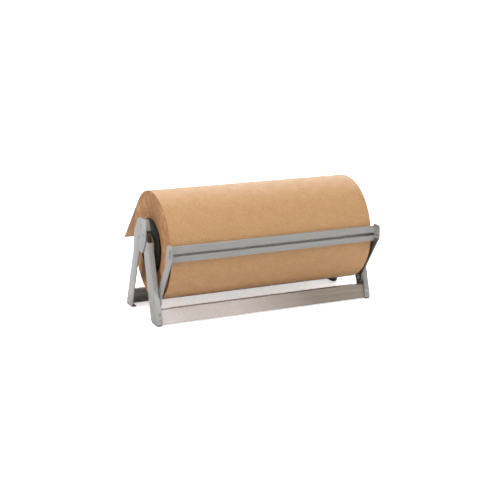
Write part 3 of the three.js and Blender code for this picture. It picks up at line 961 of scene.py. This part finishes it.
@dataclass
class Rivets:
    """Round-headed rivets, placed one by one and grown together by one tree.

    rim is the straight edge of a head or tail, as a share of its radius. sink keeps a head's foot inside the
    sheet, and tail_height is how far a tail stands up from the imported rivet's foot.
    """

    head_radius: float = 4.1 * MM
    head_height: float = 1.3 * MM
    tail_radius: float = 2.805 * MM
    tail_height: float = 0.9 * MM
    sink: float = 0.02 * MM
    rim: float = 0.06
    segments: int = 28
    rings: int = 16
    tree: bpy.types.NodeTree = field(init=False)

    def __post_init__(self) -> None:
        """Builds the tree."""
        self.tree = self._build_tree()

    @staticmethod
    def _build_tree() -> bpy.types.NodeTree:
        """Domes on points, each turned to its point's facing and scaled by its point's size.

        Returns:
            The tree.
        """
        tree, given, result = new_group(
            "rivet_heads",
            "GeometryNodeTree",
            [
                ("Geometry", "NodeSocketGeometry", None),
                ("Flatness", "NodeSocketFloat", 0.3),
                ("Rim", "NodeSocketFloat", 0.05),
                ("Segments", "NodeSocketInt", 24),
                ("Rings", "NodeSocketInt", 12),
                ("Material", "NodeSocketMaterial", None),
            ],
            [("Geometry", "NodeSocketGeometry")],
        )
        calc = partial(math_node, tree)
        ball = add_node(
            tree,
            "GeometryNodeMeshUVSphere",
            {"Segments": given["Segments"], "Rings": given["Rings"], "Radius": 1.0},
        )
        position = add_node(tree, "GeometryNodeInputPosition").outputs[0]
        here = add_node(tree, "ShaderNodeSeparateXYZ", {0: position}).outputs
        above = calc("MAXIMUM", here["Z"], 0.0)
        crown = calc("MULTIPLY", above, given["Flatness"])
        lifted = calc("ADD", crown, calc("MULTIPLY", calc("SIGN", above), given["Rim"]))
        flat = add_node(tree, "ShaderNodeCombineXYZ", {"X": here["X"], "Y": here["Y"], "Z": lifted})
        dome = add_node(
            tree, "GeometryNodeSetPosition", {"Geometry": ball.outputs["Mesh"], "Position": flat.outputs[0]}
        )
        stored = partial(add_node, tree, "GeometryNodeInputNamedAttribute")
        facing = stored({"Name": "facing"}, data_type="FLOAT_VECTOR").outputs[0]
        turn = add_node(tree, "FunctionNodeAlignRotationToVector", {"Vector": facing}, axis="Z")
        heads = add_node(
            tree,
            "GeometryNodeInstanceOnPoints",
            {
                "Points": given["Geometry"],
                "Instance": dome.outputs[0],
                "Rotation": turn.outputs[0],
                "Scale": stored({"Name": "size"}, data_type="FLOAT").outputs[0],
            },
        )
        dress(tree, given, result, heads.outputs[0])
        return tree

    def make(self, name: str, body: Body, nodes: dict[str, Vector], material: bpy.types.Material) -> None:
        """Makes all the rivets of one body as one piece.

        Args:
            name: The piece's name.
            body: The body that they ride on.
            nodes: Packed rivet to the direction that its head faces.
            material: Their finish.
        """
        places: list[Vector] = []
        facings: list[Vector] = []
        sizes: list[float] = []
        for node, facing in nodes.items():
            foot, top = extent(node, facing)
            aside = Vector((0, 1, 0)) if abs(facing.x) > 0.5 else Vector((1, 0, 0))
            across = facing.cross(aside).normalized()
            along = facing.cross(across)
            middle = across * (sum(extent(node, across)) / 2) + along * (sum(extent(node, along)) / 2)
            head_foot = top - self.head_height - self.sink
            places += [middle + facing * head_foot, middle + facing * (foot + self.tail_height)]
            facings += [facing, -facing]
            sizes += [self.head_radius, self.tail_radius]
        mesh = bpy.data.meshes.new(f"{name}_points")
        mesh.from_pydata([tuple(place) for place in places], [], [])
        mesh.attributes.new("facing", "FLOAT_VECTOR", "POINT").data.foreach_set(
            "vector", [value for facing in facings for value in facing]
        )
        mesh.attributes.new("size", "FLOAT", "POINT").data.foreach_set("value", sizes)
        values = {
            "Flatness": self.head_height / self.head_radius - self.rim,
            "Rim": self.rim,
            "Segments": self.segments,
            "Rings": self.rings,
            "Material": material,
        }
        place_piece(grown(name, mesh, self.tree, values), body, nodes)


# ---------------------------------------------------------------- the stand


@dataclass
class Stand:
    """Two A-frames, the crossbars that join them, and what is fixed to them.

    The leans are how far the flanges of the front and rear legs lie back from upright.
    """

    finishes: Finishes
    rivets: Rivets
    sheet_edge: float = 0.45 * MM
    pad_edge: float = 0.4 * MM
    pin_edge: float = 0.3 * MM
    front_lean: float = math.atan2(48.3, 165)
    rear_lean: float = math.atan2(58.8, 136)

    def build(self) -> None:
        """Makes and dresses every fixed piece."""
        maker = Maker(Body.STAND)
        for side in SIDES:
            for part in ("rear_leg", "front_leg"):
                self._pressing(f"{side}_{part}", self.finishes.enamel)
            self._pressing(f"{side}_corner_gusset", self.finishes.gusset_painted_light)
            for part in ("front_foot", "rear_foot"):
                node = f"{side}_{part}"
                maker.make(f"{node}_pad", node, self.finishes.rubber, "foot_rubber", self.pad_edge)
            pin = f"{side}_pivot_pin"
            maker.make(f"{side}_pin", pin, self.finishes.enamel, "grey_enamel", self.pin_edge)
        self._pressing("front_crossbar", self.finishes.crossbar)
        self._pressing("rear_crossbar", self.finishes.enamel)
        self.rivets.make("stand_rivets", Body.STAND, self._rivet_facings(), self.finishes.enamel)

    def _pressing(self, node: str, finish: bpy.types.Material) -> None:
        """Makes one enamelled sheet steel piece."""
        Maker(Body.STAND).make(f"{node}_pressing", node, finish, "grey_enamel", self.sheet_edge)

    def _rivet_facings(self) -> dict[str, Vector]:
        """Finds the direction that each of the stand's rivet heads faces.

        Returns:
            Packed rivet to direction.
        """
        front = Vector((0, -math.cos(self.front_lean), math.sin(self.front_lean)))
        rear = Vector((0, math.cos(self.rear_lean), math.sin(self.rear_lean)))
        facings: dict[str, Vector] = {}
        for side, sign in SIDES.items():
            for number in (1, 2):
                facings[f"{side}_head_rivet_{number}"] = Vector((sign, 0, 0))
                facings[f"{side}_front_corner_rivet_{number}"] = front
                facings[f"{side}_rear_corner_rivet_{number}"] = rear
        return facings


# ---------------------------------------------------------------- the cutter


@dataclass
class Springs:
    """Torsion springs round the pivot pins, wound along a path by one tree.

    wire and coil are radii. hook is where the wire passes through the arm, back and up from the pivot, and
    the wire bends there by the radius bend. clearance is the gap between the arm and the first turn.
    """

    finishes: Finishes
    wire: float = 0.9 * MM
    coil: float = 6.2 * MM
    pitch: float = 1.9 * MM
    turns: float = 3.0
    hook: tuple[float, float] = (-3.7 * MM, 9.0 * MM)
    hook_reach: float = 1.0 * MM
    bend: float = 1.2 * MM
    tail_angle: float = math.radians(-145)
    tail: float = 7.0 * MM
    clearance: float = 0.4 * MM
    bend_steps: int = 6
    points_a_turn: int = 32
    tail_steps: int = 2
    facets: int = 14

    def _path(self, side: str, sign: int) -> list[Vector]:
        """Lays out the centre line of one spring, from its hook in the arm to the end of its tail.

        Args:
            side: left or right.
            sign: -1 on the left, 1 on the right.

        Returns:
            The hook's end, the bend's points, the coil's points and the tail's points.
        """
        pin_low, pin_high = (Vector(corner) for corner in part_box(f"{side}_pivot_pin"))
        pivot = (pin_low + pin_high) / 2
        arm_inner, arm_outer = sorted(abs(corner[0]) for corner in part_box(f"{side}_cutter_arm"))
        start = arm_outer + self.clearance + self.wire
        hook_y, hook_z = self.hook
        hook_angle = math.atan2(hook_z, hook_y) - math.acos(self.coil / math.hypot(hook_y, hook_z))
        path = [(arm_inner - self.hook_reach, hook_y, hook_z)]
        for step in range(self.bend_steps + 1):
            angle = math.pi / 2 * step / self.bend_steps
            along = self.bend * (1 - math.cos(angle))
            x = start - self.bend * (1 - math.sin(angle))
            path.append((x, hook_y + along * math.sin(hook_angle), hook_z - along * math.cos(hook_angle)))
        turn = hook_angle - self.tail_angle + math.tau * self.turns
        steps = round(turn / math.tau * self.points_a_turn)
        for step in range(steps + 1):
            angle = hook_angle - turn * step / steps
            x = start + self.pitch * turn * step / steps / math.tau
            path.append((x, self.coil * math.cos(angle), self.coil * math.sin(angle)))
        x, y, z = path[-1]
        for step in range(1, self.tail_steps + 1):
            reach = self.tail * step / self.tail_steps
            path.append((x, y + reach * math.sin(self.tail_angle), z - reach * math.cos(self.tail_angle)))
        return [Vector((sign * x, pivot.y + y, pivot.z + z)) for x, y, z in path]

    @staticmethod
    def _build_tree() -> bpy.types.NodeTree:
        """Wire of a given radius along the edges of the mesh.

        Returns:
            The tree.
        """
        tree, given, result = new_group(
            "wire_along_path",
            "GeometryNodeTree",
            [
                ("Geometry", "NodeSocketGeometry", None),
                ("Wire Radius", "NodeSocketFloat", 0.001),
                ("Facets", "NodeSocketInt", 12),
                ("Material", "NodeSocketMaterial", None),
            ],
            [("Geometry", "NodeSocketGeometry")],
        )
        path = add_node(tree, "GeometryNodeMeshToCurve", {"Mesh": given["Geometry"]})
        section = add_node(
            tree,
            "GeometryNodeCurvePrimitiveCircle",
            {"Resolution": given["Facets"], "Radius": given["Wire Radius"]},
        )
        wire = add_node(
            tree,
            "GeometryNodeCurveToMesh",
            {"Curve": path.outputs[0], "Profile Curve": section.outputs[0], "Fill Caps": True},
        )
        dress(tree, given, result, wire.outputs[0])
        return tree

    def build(self) -> None:
        """Makes both springs. Each one's hook turns with the arm, and its tail stays with the stand."""
        tree = self._build_tree()
        values = {"Wire Radius": self.wire, "Facets": self.facets, "Material": self.finishes.wire}
        for side, sign in SIDES.items():
            path = self._path(side, sign)
            mesh = bpy.data.meshes.new(f"{side}_spring_path")
            mesh.from_pydata([tuple(p) for p in path], [(i, i + 1) for i in range(len(path) - 1)], [])
            spring = grown(f"{side}_spring", mesh, tree, values)
            outward(spring.data)
            coil = path[self.bend_steps + 2 : -self.tail_steps]
            middle = Vector((0, sum(p.y for p in coil), sum(p.z for p in coil))) / len(coil)
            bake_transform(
                spring,
                Body.CUTTER.value,
                Body.STAND.value,
                start=(coil[0].x, middle.y, middle.z),
                end=(coil[-1].x, middle.y, middle.z),
            )
            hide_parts(f"{side}_torsion_spring")
            LOG.info("%s: %d faces between cutter and stand", spring.name, len(spring.data.polygons))


@dataclass
class Cutter:
    """The swinging bar with its blade, arms and rivets."""

    finishes: Finishes
    rivets: Rivets
    sheet_edge: float = 0.35 * MM
    blade_edge: float = 0.08 * MM

    def build(self) -> None:
        """Makes and dresses every piece that swings."""
        maker = Maker(Body.CUTTER)
        finishes = {
            "left_cutter_arm": self.finishes.arm,
            "right_cutter_arm": self.finishes.arm,
            "cutter_bar": self.finishes.bar,
        }
        for node, finish in finishes.items():
            maker.make(f"{node}_pressing", node, finish, "grey_enamel", self.sheet_edge)
        maker.make("toothed_blade", "cutting_blade", self.finishes.blade, "bright_steel", self.blade_edge)
        facings = {
            f"{side}_bar_rivet_{number}": Vector((sign, 0, 0))
            for side, sign in SIDES.items()
            for number in (1, 2)
        }
        self.rivets.make("bar_rivets", Body.CUTTER, facings, self.finishes.rivet)


# ---------------------------------------------------------------- the roll


@dataclass
class Roll:
    """The wound paper with its core, plugs and end flanges.

    undersize leaves room for the outermost wrap, play is the gap round the core, and relief is how far the
    edges of the layers may lie below the paper's full width.
    """

    finishes: Finishes
    undersize: float = 0.6 * MM
    play: float = 0.1 * MM
    relief: float = 0.35 * MM
    layers: int = 72
    segments: int = 144
    seed: float = 7.0
    smooth: float = 30.0

    @staticmethod
    def _build_tree() -> bpy.types.NodeTree:
        """A ring of wound paper: a grid bent round the axis, with uneven layers at both ends.

        The grid's rows climb the left end from the bore to the outside and come back down the right end, and
        the last row closes the bore.

        Returns:
            The tree.
        """
        tree, given, result = new_group(
            "wound_paper",
            "GeometryNodeTree",
            [
                ("Geometry", "NodeSocketGeometry", None),
                ("Outer Radius", "NodeSocketFloat", 0.1),
                ("Bore Radius", "NodeSocketFloat", 0.02),
                ("Half Length", "NodeSocketFloat", 0.2),
                ("Relief", "NodeSocketFloat", 0.0003),
                ("Layers", "NodeSocketInt", 60),
                ("Segments", "NodeSocketInt", 96),
                ("Seed", "NodeSocketFloat", 0.0),
                ("Axis", "NodeSocketVector", (0.0, 0.0, 0.0)),
                ("Material", "NodeSocketMaterial", None),
            ],
            [("Geometry", "NodeSocketGeometry")],
        )
        calc = partial(math_node, tree)
        combine = partial(add_node, tree, "ShaderNodeCombineXYZ")
        layers = given["Layers"]
        rows = calc("ADD", calc("MULTIPLY", layers, 2.0), 3.0)
        columns = calc("ADD", given["Segments"], 1.0)
        sizes = {"Size X": 1.0, "Size Y": 1.0, "Vertices X": columns, "Vertices Y": rows}
        grid = add_node(tree, "GeometryNodeMeshGrid", sizes)
        position = add_node(tree, "GeometryNodeInputPosition").outputs[0]
        here = add_node(tree, "ShaderNodeSeparateXYZ", {0: position}).outputs
        angle = calc("MULTIPLY", calc("ADD", here["X"], 0.5), math.tau)
        last = calc("SUBTRACT", rows, 1.0)
        row = calc("ROUND", calc("MULTIPLY", calc("ADD", here["Y"], 0.5), last))
        on_right = calc("GREATER_THAN", row, calc("ADD", layers, 0.5))
        back_again = calc("SUBTRACT", calc("SUBTRACT", last, 1.0), row)
        is_last = calc("GREATER_THAN", row, calc("SUBTRACT", last, 0.5))
        right_layer = calc("MULTIPLY", calc("MAXIMUM", back_again, 0.0), on_right)
        left_layer = calc("MULTIPLY", row, calc("SUBTRACT", 1.0, on_right))
        layer = calc("ADD", right_layer, left_layer)
        wall = calc("SUBTRACT", given["Outer Radius"], given["Bore Radius"])
        radius = calc("ADD", given["Bore Radius"], calc("MULTIPLY", calc("DIVIDE", layer, layers), wall))
        side = calc("SUBTRACT", on_right, is_last)
        sign = calc("SUBTRACT", calc("MULTIPLY", side, 2.0), 1.0)
        seat = combine({"X": layer, "Y": side, "Z": given["Seed"]}).outputs[0]
        proud = calc("MULTIPLY", noise_node(tree, seat, 0.41, 4.0), given["Relief"])
        bent = combine(
            {
                "X": calc("MULTIPLY", calc("SUBTRACT", given["Half Length"], proud), sign),
                "Y": calc("MULTIPLY", radius, calc("COSINE", angle)),
                "Z": calc("MULTIPLY", radius, calc("SINE", angle)),
            }
        ).outputs[0]
        ring = add_node(
            tree,
            "GeometryNodeSetPosition",
            {"Geometry": grid.outputs["Mesh"], "Position": vector_node(tree, "ADD", bent, given["Axis"])},
        )
        joined = {"Geometry": ring.outputs[0], "Distance": 0.001 * MM}
        closed = add_node(tree, "GeometryNodeMergeByDistance", joined)
        dress(tree, given, result, closed.outputs[0])
        return tree

    def _paper(self) -> None:
        """Makes the wound paper."""
        low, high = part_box("paper_roll")
        core_low, core_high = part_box("paper_core")
        values = {
            "Outer Radius": (high[2] - low[2]) / 2 - self.undersize,
            "Bore Radius": (core_high[2] - core_low[2]) / 2 + self.play,
            "Half Length": (high[0] - low[0]) / 2,
            "Relief": self.relief,
            "Layers": self.layers,
            "Segments": self.segments,
            "Seed": self.seed,
            "Axis": (0.0, AXIS.y, AXIS.z),
            "Material": self.finishes.wound_paper,
        }
        paper = grown("wound_paper", bpy.data.meshes.new("wound_paper_seed"), self._build_tree(), values)
        outward(paper.data)
        shade(paper.data, self.smooth)
        place_piece(paper, Body.ROLL, ["paper_roll"])

    def build(self) -> None:
        """Makes and dresses every piece that turns with the roll."""
        self._paper()
        make = Maker(Body.ROLL).make
        make("board_core", "paper_core", self.finishes.board, "core_board", 0.3 * MM)
        for side in SIDES:
            flange, plug = f"{side}_roll_flange", f"{side}_core_plug"
            make(f"{side}_end_flange", flange, self.finishes.plastic, "black_plastic", 0.35 * MM)
            make(f"{side}_wood_plug", plug, self.finishes.wood, "plug_wood", 0.5 * MM)


@dataclass(frozen=True)
class Station:
    """One place on the sheet's section: its point, its outward normal and how far along the paper it is."""

    point: Vector
    normal: Vector
    along: float


def add_face(
    work: bmesh.types.BMesh, corners: Sequence[bmesh.types.BMVert], places: Sequence[tuple[float, float]]
) -> None:
    """Adds one face of the sheet with its place on the flat map.

    Args:
        work: The mesh under construction.
        corners: The face's corners.
        places: The place of each corner on the flat sheet.
    """
    flat = work.loops.layers.uv["flat"]
    for loop, place in zip(work.faces.new(corners).loops, places):
        loop[flat].uv = place


@dataclass
class Spindle:
    """The shaft, and the outermost wrap of paper with its loose end.

    The sheet starts tucked under its own wrap, goes round by wrap_angle, leaves the roll at leave_angle above
    level and hangs straight to its cut edge. cut_width is the width of the darker strip along that edge.
    """

    finishes: Finishes
    shaft_edge: float = 0.6 * MM
    thickness: float = 0.3 * MM
    inset: float = 0.15 * MM
    wrap_angle: float = math.radians(352)
    leave_angle: float = math.radians(45)
    steps_round: int = 150
    steps_down: int = 24
    steps_across: int = 152
    tooth_depth: float = 1.5 * MM
    tooth_change: float = 0.25
    cut_width: float = 2.2 * MM
    ripple: float = 1.0 * MM
    ripple_seed: float = 3.1
    tooth_seed: float = 5.7
    smooth: float = 40.0

    def _section(self) -> list[Station]:
        """Lays out the sheet's section.

        Returns:
            Its stations, from the tucked end on.
        """
        low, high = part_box("paper_roll")
        outer = (high[2] - low[2]) / 2 - self.inset - self.thickness / 2
        stations: list[Station] = []
        for step in range(self.steps_round + 1):
            share = step / self.steps_round
            angle = self.leave_angle + self.wrap_angle * (1 - share)
            radius = outer - self.thickness * (1 - share)
            normal = Vector((0, math.cos(angle), math.sin(angle)))
            point = Vector((0, AXIS.y, AXIS.z)) + normal * radius
            stations.append(Station(point, normal, radius * self.wrap_angle * share))
        leaving = stations[-1]
        down = Vector((0, math.sin(self.leave_angle), -math.cos(self.leave_angle)))
        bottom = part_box("loose_sheet")[0][2] + self.thickness
        run = (leaving.point.z - bottom) / math.cos(self.leave_angle)
        reaches = [run * step / self.steps_down - self.cut_width for step in range(1, self.steps_down + 1)]
        for reach in (*reaches, run):
            stations.append(Station(leaving.point + down * reach, leaving.normal, leaving.along + reach))
        return stations

    def _side(
        self, work: bmesh.types.BMesh, section: Sequence[Station], across: Sequence[float], sign: int
    ) -> list[list[bmesh.types.BMVert]]:
        """Adds the points of one side of the sheet, with its zigzag cut edge.

        Args:
            work: The mesh under construction.
            section: The sheet's section.
            across: X of each column.
            sign: -1 for the side that faces the roll, 1 for the other.

        Returns:
            A row of points for each station.
        """
        cut = work.verts.layers.float["cut"]
        wrapped, total = section[self.steps_round].along, section[-1].along
        down = (section[-1].point - section[-2].point).normalized()
        rows = []
        for station in section:
            loose = max(0.0, (station.along - wrapped) / (total - wrapped))
            row = []
            for step, x in enumerate(across):
                wave = noise.noise(Vector((x * 9, station.along * 7, self.ripple_seed))) - 0.5
                offset = self.ripple * loose * (1 - loose) * wave + sign * self.thickness / 2
                point = station.point + station.normal * offset + Vector((x, 0, 0))
                if loose == 1.0 and step % 2:
                    change = noise.noise(Vector((x * 40, 0.0, self.tooth_seed)))
                    point -= down * self.tooth_depth * (1 - self.tooth_change * (1 - change))
                row.append(work.verts.new(point))
                row[-1][cut] = float(loose == 1.0)
            rows.append(row)
        return rows

    def _sheet(self) -> None:
        """Makes the wrap and its loose end as one thin closed sheet."""
        low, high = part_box("paper_roll")
        half = (high[0] - low[0]) / 2
        across = [half * (2 * step / self.steps_across - 1) for step in range(self.steps_across + 1)]
        section = self._section()
        work = bmesh.new()
        work.loops.layers.uv.new("flat")
        work.verts.layers.float.new("cut")
        inner, outer = [self._side(work, section, across, sign) for sign in (-1, 1)]
        for i in range(len(section) - 1):
            v0, v1 = section[i].along, section[i + 1].along
            for j in range(self.steps_across):
                u0, u1 = across[j], across[j + 1]
                places = [(u0, v0), (u1, v0), (u1, v1), (u0, v1)]
                add_face(work, [outer[i][j], outer[i][j + 1], outer[i + 1][j + 1], outer[i + 1][j]], places)
                add_face(work, [inner[i][j], inner[i + 1][j], inner[i + 1][j + 1], inner[i][j + 1]], places)
            for j in (0, self.steps_across):
                u = across[j]
                places = [(u, v0), (u, v1), (u, v1), (u, v0)]
                add_face(work, [inner[i][j], inner[i + 1][j], outer[i + 1][j], outer[i][j]], places)
        for i in (0, len(section) - 1):
            v = section[i].along
            for j in range(self.steps_across):
                u0, u1 = across[j], across[j + 1]
                places = [(u0, v), (u1, v), (u1, v), (u0, v)]
                add_face(work, [inner[i][j], inner[i][j + 1], outer[i][j + 1], outer[i][j]], places)
        bmesh.ops.recalc_face_normals(work, faces=work.faces)
        mesh = bpy.data.meshes.new("outer_wrap")
        work.to_mesh(mesh)
        work.free()
        mesh.materials.append(self.finishes.kraft)
        shade(mesh, self.smooth)
        place_piece(link("outer_wrap_and_loose_end", mesh), Body.SPINDLE, ["loose_sheet"])

    def build(self) -> None:
        """Makes and dresses the shaft and the sheet."""
        make = Maker(Body.SPINDLE).make
        make("round_shaft", "roll_shaft", self.finishes.shaft, "bright_steel", self.shaft_edge)
        self._sheet()


# ---------------------------------------------------------------- the studio


@dataclass(frozen=True)
class Softbox:
    """One soft round light, aimed at the dispenser or at the backdrop."""

    name: str
    place: tuple[float, float, float]
    size: float
    power: float
    target: tuple[float, float, float] = (0.0, 0.0, 0.13)

    def build(self) -> None:
        """Puts the light in the scene."""
        lamp = bpy.data.lights.new(self.name, "AREA")
        lamp.shape = "DISK"
        lamp.size = self.size
        lamp.energy = self.power
        holder = bpy.data.objects.new(self.name, lamp)
        bpy.context.scene.collection.objects.link(holder)
        holder.location = self.place
        aim = Vector(self.target) - Vector(self.place)
        holder.rotation_euler = aim.to_track_quat("-Z", "Y").to_euler()


@dataclass
class Studio:
    """Plain pale sweep, soft lights and the camera.

    The camera stands at camera_from_axis from the middle of the roll's axis, and back is the direction from
    what it looks at to itself. floor_lift lightens the floor where it is looked at, so that its shadows stay
    soft and pale. The sweep runs level from front to bend_start, curves up by the radius bend, and rises to
    wall_top.
    """

    lens: float = 77.98
    sensor: float = 36.0
    camera_from_axis: tuple[float, float, float] = (-953.1 * MM, -2065.3 * MM, 530.3 * MM)
    back: tuple[float, float, float] = (-0.40497, -0.88208, 0.24069)
    white: Colour = (1.0, 1.0, 1.0, 1.0)
    ambient: float = 0.09
    floor_colour: Colour = (0.9, 0.9, 0.9, 1.0)
    floor_lift: float = 0.55
    floor_roughness: float = 0.9
    half_width: float = 9.0
    front: float = -6.0
    bend_start: float = 3.0
    bend: float = 1.5
    bend_steps: int = 12
    wall_top: float = 4.0
    lights: Sequence[Softbox] = (
        Softbox("key_light", (-1.2, -1.0, 2.4), 1.6, 54.0),
        Softbox("side_light", (-2.6, -0.4, 1.2), 2.4, 9.5),
        Softbox("front_light", (-0.3, -3.0, 1.2), 1.6, 12.0),
        Softbox("rim_light", (0.9, 1.3, 2.2), 2.0, 28.0),
        Softbox("fill_light", (2.2, -1.6, 1.2), 1.6, 16.0),
        Softbox("backdrop_light", (2.4, 1.2, 3.2), 3.0, 330.0, target=(2.6, 4.5, 1.4)),
    )

    def build(self) -> None:
        """Makes the camera, the lights, the floor and the light of the room."""
        self._camera()
        for light in self.lights:
            light.build()
        self._floor()
        world = bpy.data.worlds.new("pale_room")
        world.use_nodes = True
        room = world.node_tree.nodes["Background"]
        room.inputs["Color"].default_value = self.white
        room.inputs["Strength"].default_value = self.ambient
        bpy.context.scene.world = world
        bpy.context.scene.view_settings.view_transform = "Standard"

    def _camera(self) -> None:
        """Sets the camera to the left of the dispenser's front and a little above it."""
        data = bpy.data.cameras.new("camera")
        data.lens = self.lens
        data.sensor_width = self.sensor
        camera = bpy.data.objects.new("camera", data)
        bpy.context.scene.collection.objects.link(camera)
        back = Vector(self.back).normalized()
        right = Vector((0, 0, 1)).cross(back).normalized()
        up = back.cross(right)
        turn = Matrix((right, up, back)).transposed()
        place = Vector((0.0, AXIS.y, AXIS.z)) + Vector(self.camera_from_axis)
        camera.matrix_world = Matrix.Translation(place) @ turn.to_4x4()
        bpy.context.scene.camera = camera

    def _floor(self) -> None:
        """Makes a floor that curves up behind the dispenser."""
        section = [(self.front, 0.0), (self.bend_start, 0.0)]
        for step in range(1, self.bend_steps + 1):
            angle = math.pi / 2 * step / self.bend_steps
            y = self.bend_start + self.bend * math.sin(angle)
            section.append((y, self.bend * (1 - math.cos(angle))))
        section.append((self.bend_start + self.bend, self.wall_top))
        work = bmesh.new()
        edges = (-self.half_width, self.half_width)
        rows = [[work.verts.new((x, y, z)) for x in edges] for y, z in section]
        for near, far in zip(rows, rows[1:]):
            work.faces.new((near[0], near[1], far[1], far[0]))
        mesh = bpy.data.meshes.new("floor")
        work.to_mesh(mesh)
        work.free()
        shade(mesh, 60.0)
        mesh.materials.append(self._floor_material())
        link("floor", mesh)

    def _floor_material(self) -> bpy.types.Material:
        """Makes the floor's plain pale finish.

        Returns:
            The material.
        """
        coat = Coat("pale_floor")
        coat.plain(
            Base_Color=self.floor_colour,
            Roughness=self.floor_roughness,
            Emission_Color=self.white,
        )
        seen = add_node(coat.tree, "ShaderNodeLightPath").outputs["Is Camera Ray"]
        lift = coat.product(seen, self.floor_lift)
        coat.tree.links.new(lift, coat.shader.inputs["Emission Strength"])
        return coat.material


# ---------------------------------------------------------------- build


def main() -> None:
    """Builds the studio, then each sub-assembly in turn."""
    logging.basicConfig(level=logging.INFO, format="%(name)s: %(message)s")
    Studio().build()
    finishes = Finishes()
    rivets = Rivets()
    steps: list[tuple[str, Callable[[], None]]] = [
        ("stand", Stand(finishes, rivets).build),
        ("springs", Springs(finishes).build),
        ("cutter", Cutter(finishes, rivets).build),
        ("roll", Roll(finishes).build),
        ("spindle", Spindle(finishes).build),
    ]
    for name, build in steps:
        LOG.info("building the %s", name)
        build()


if __name__ == "__main__":
    main()
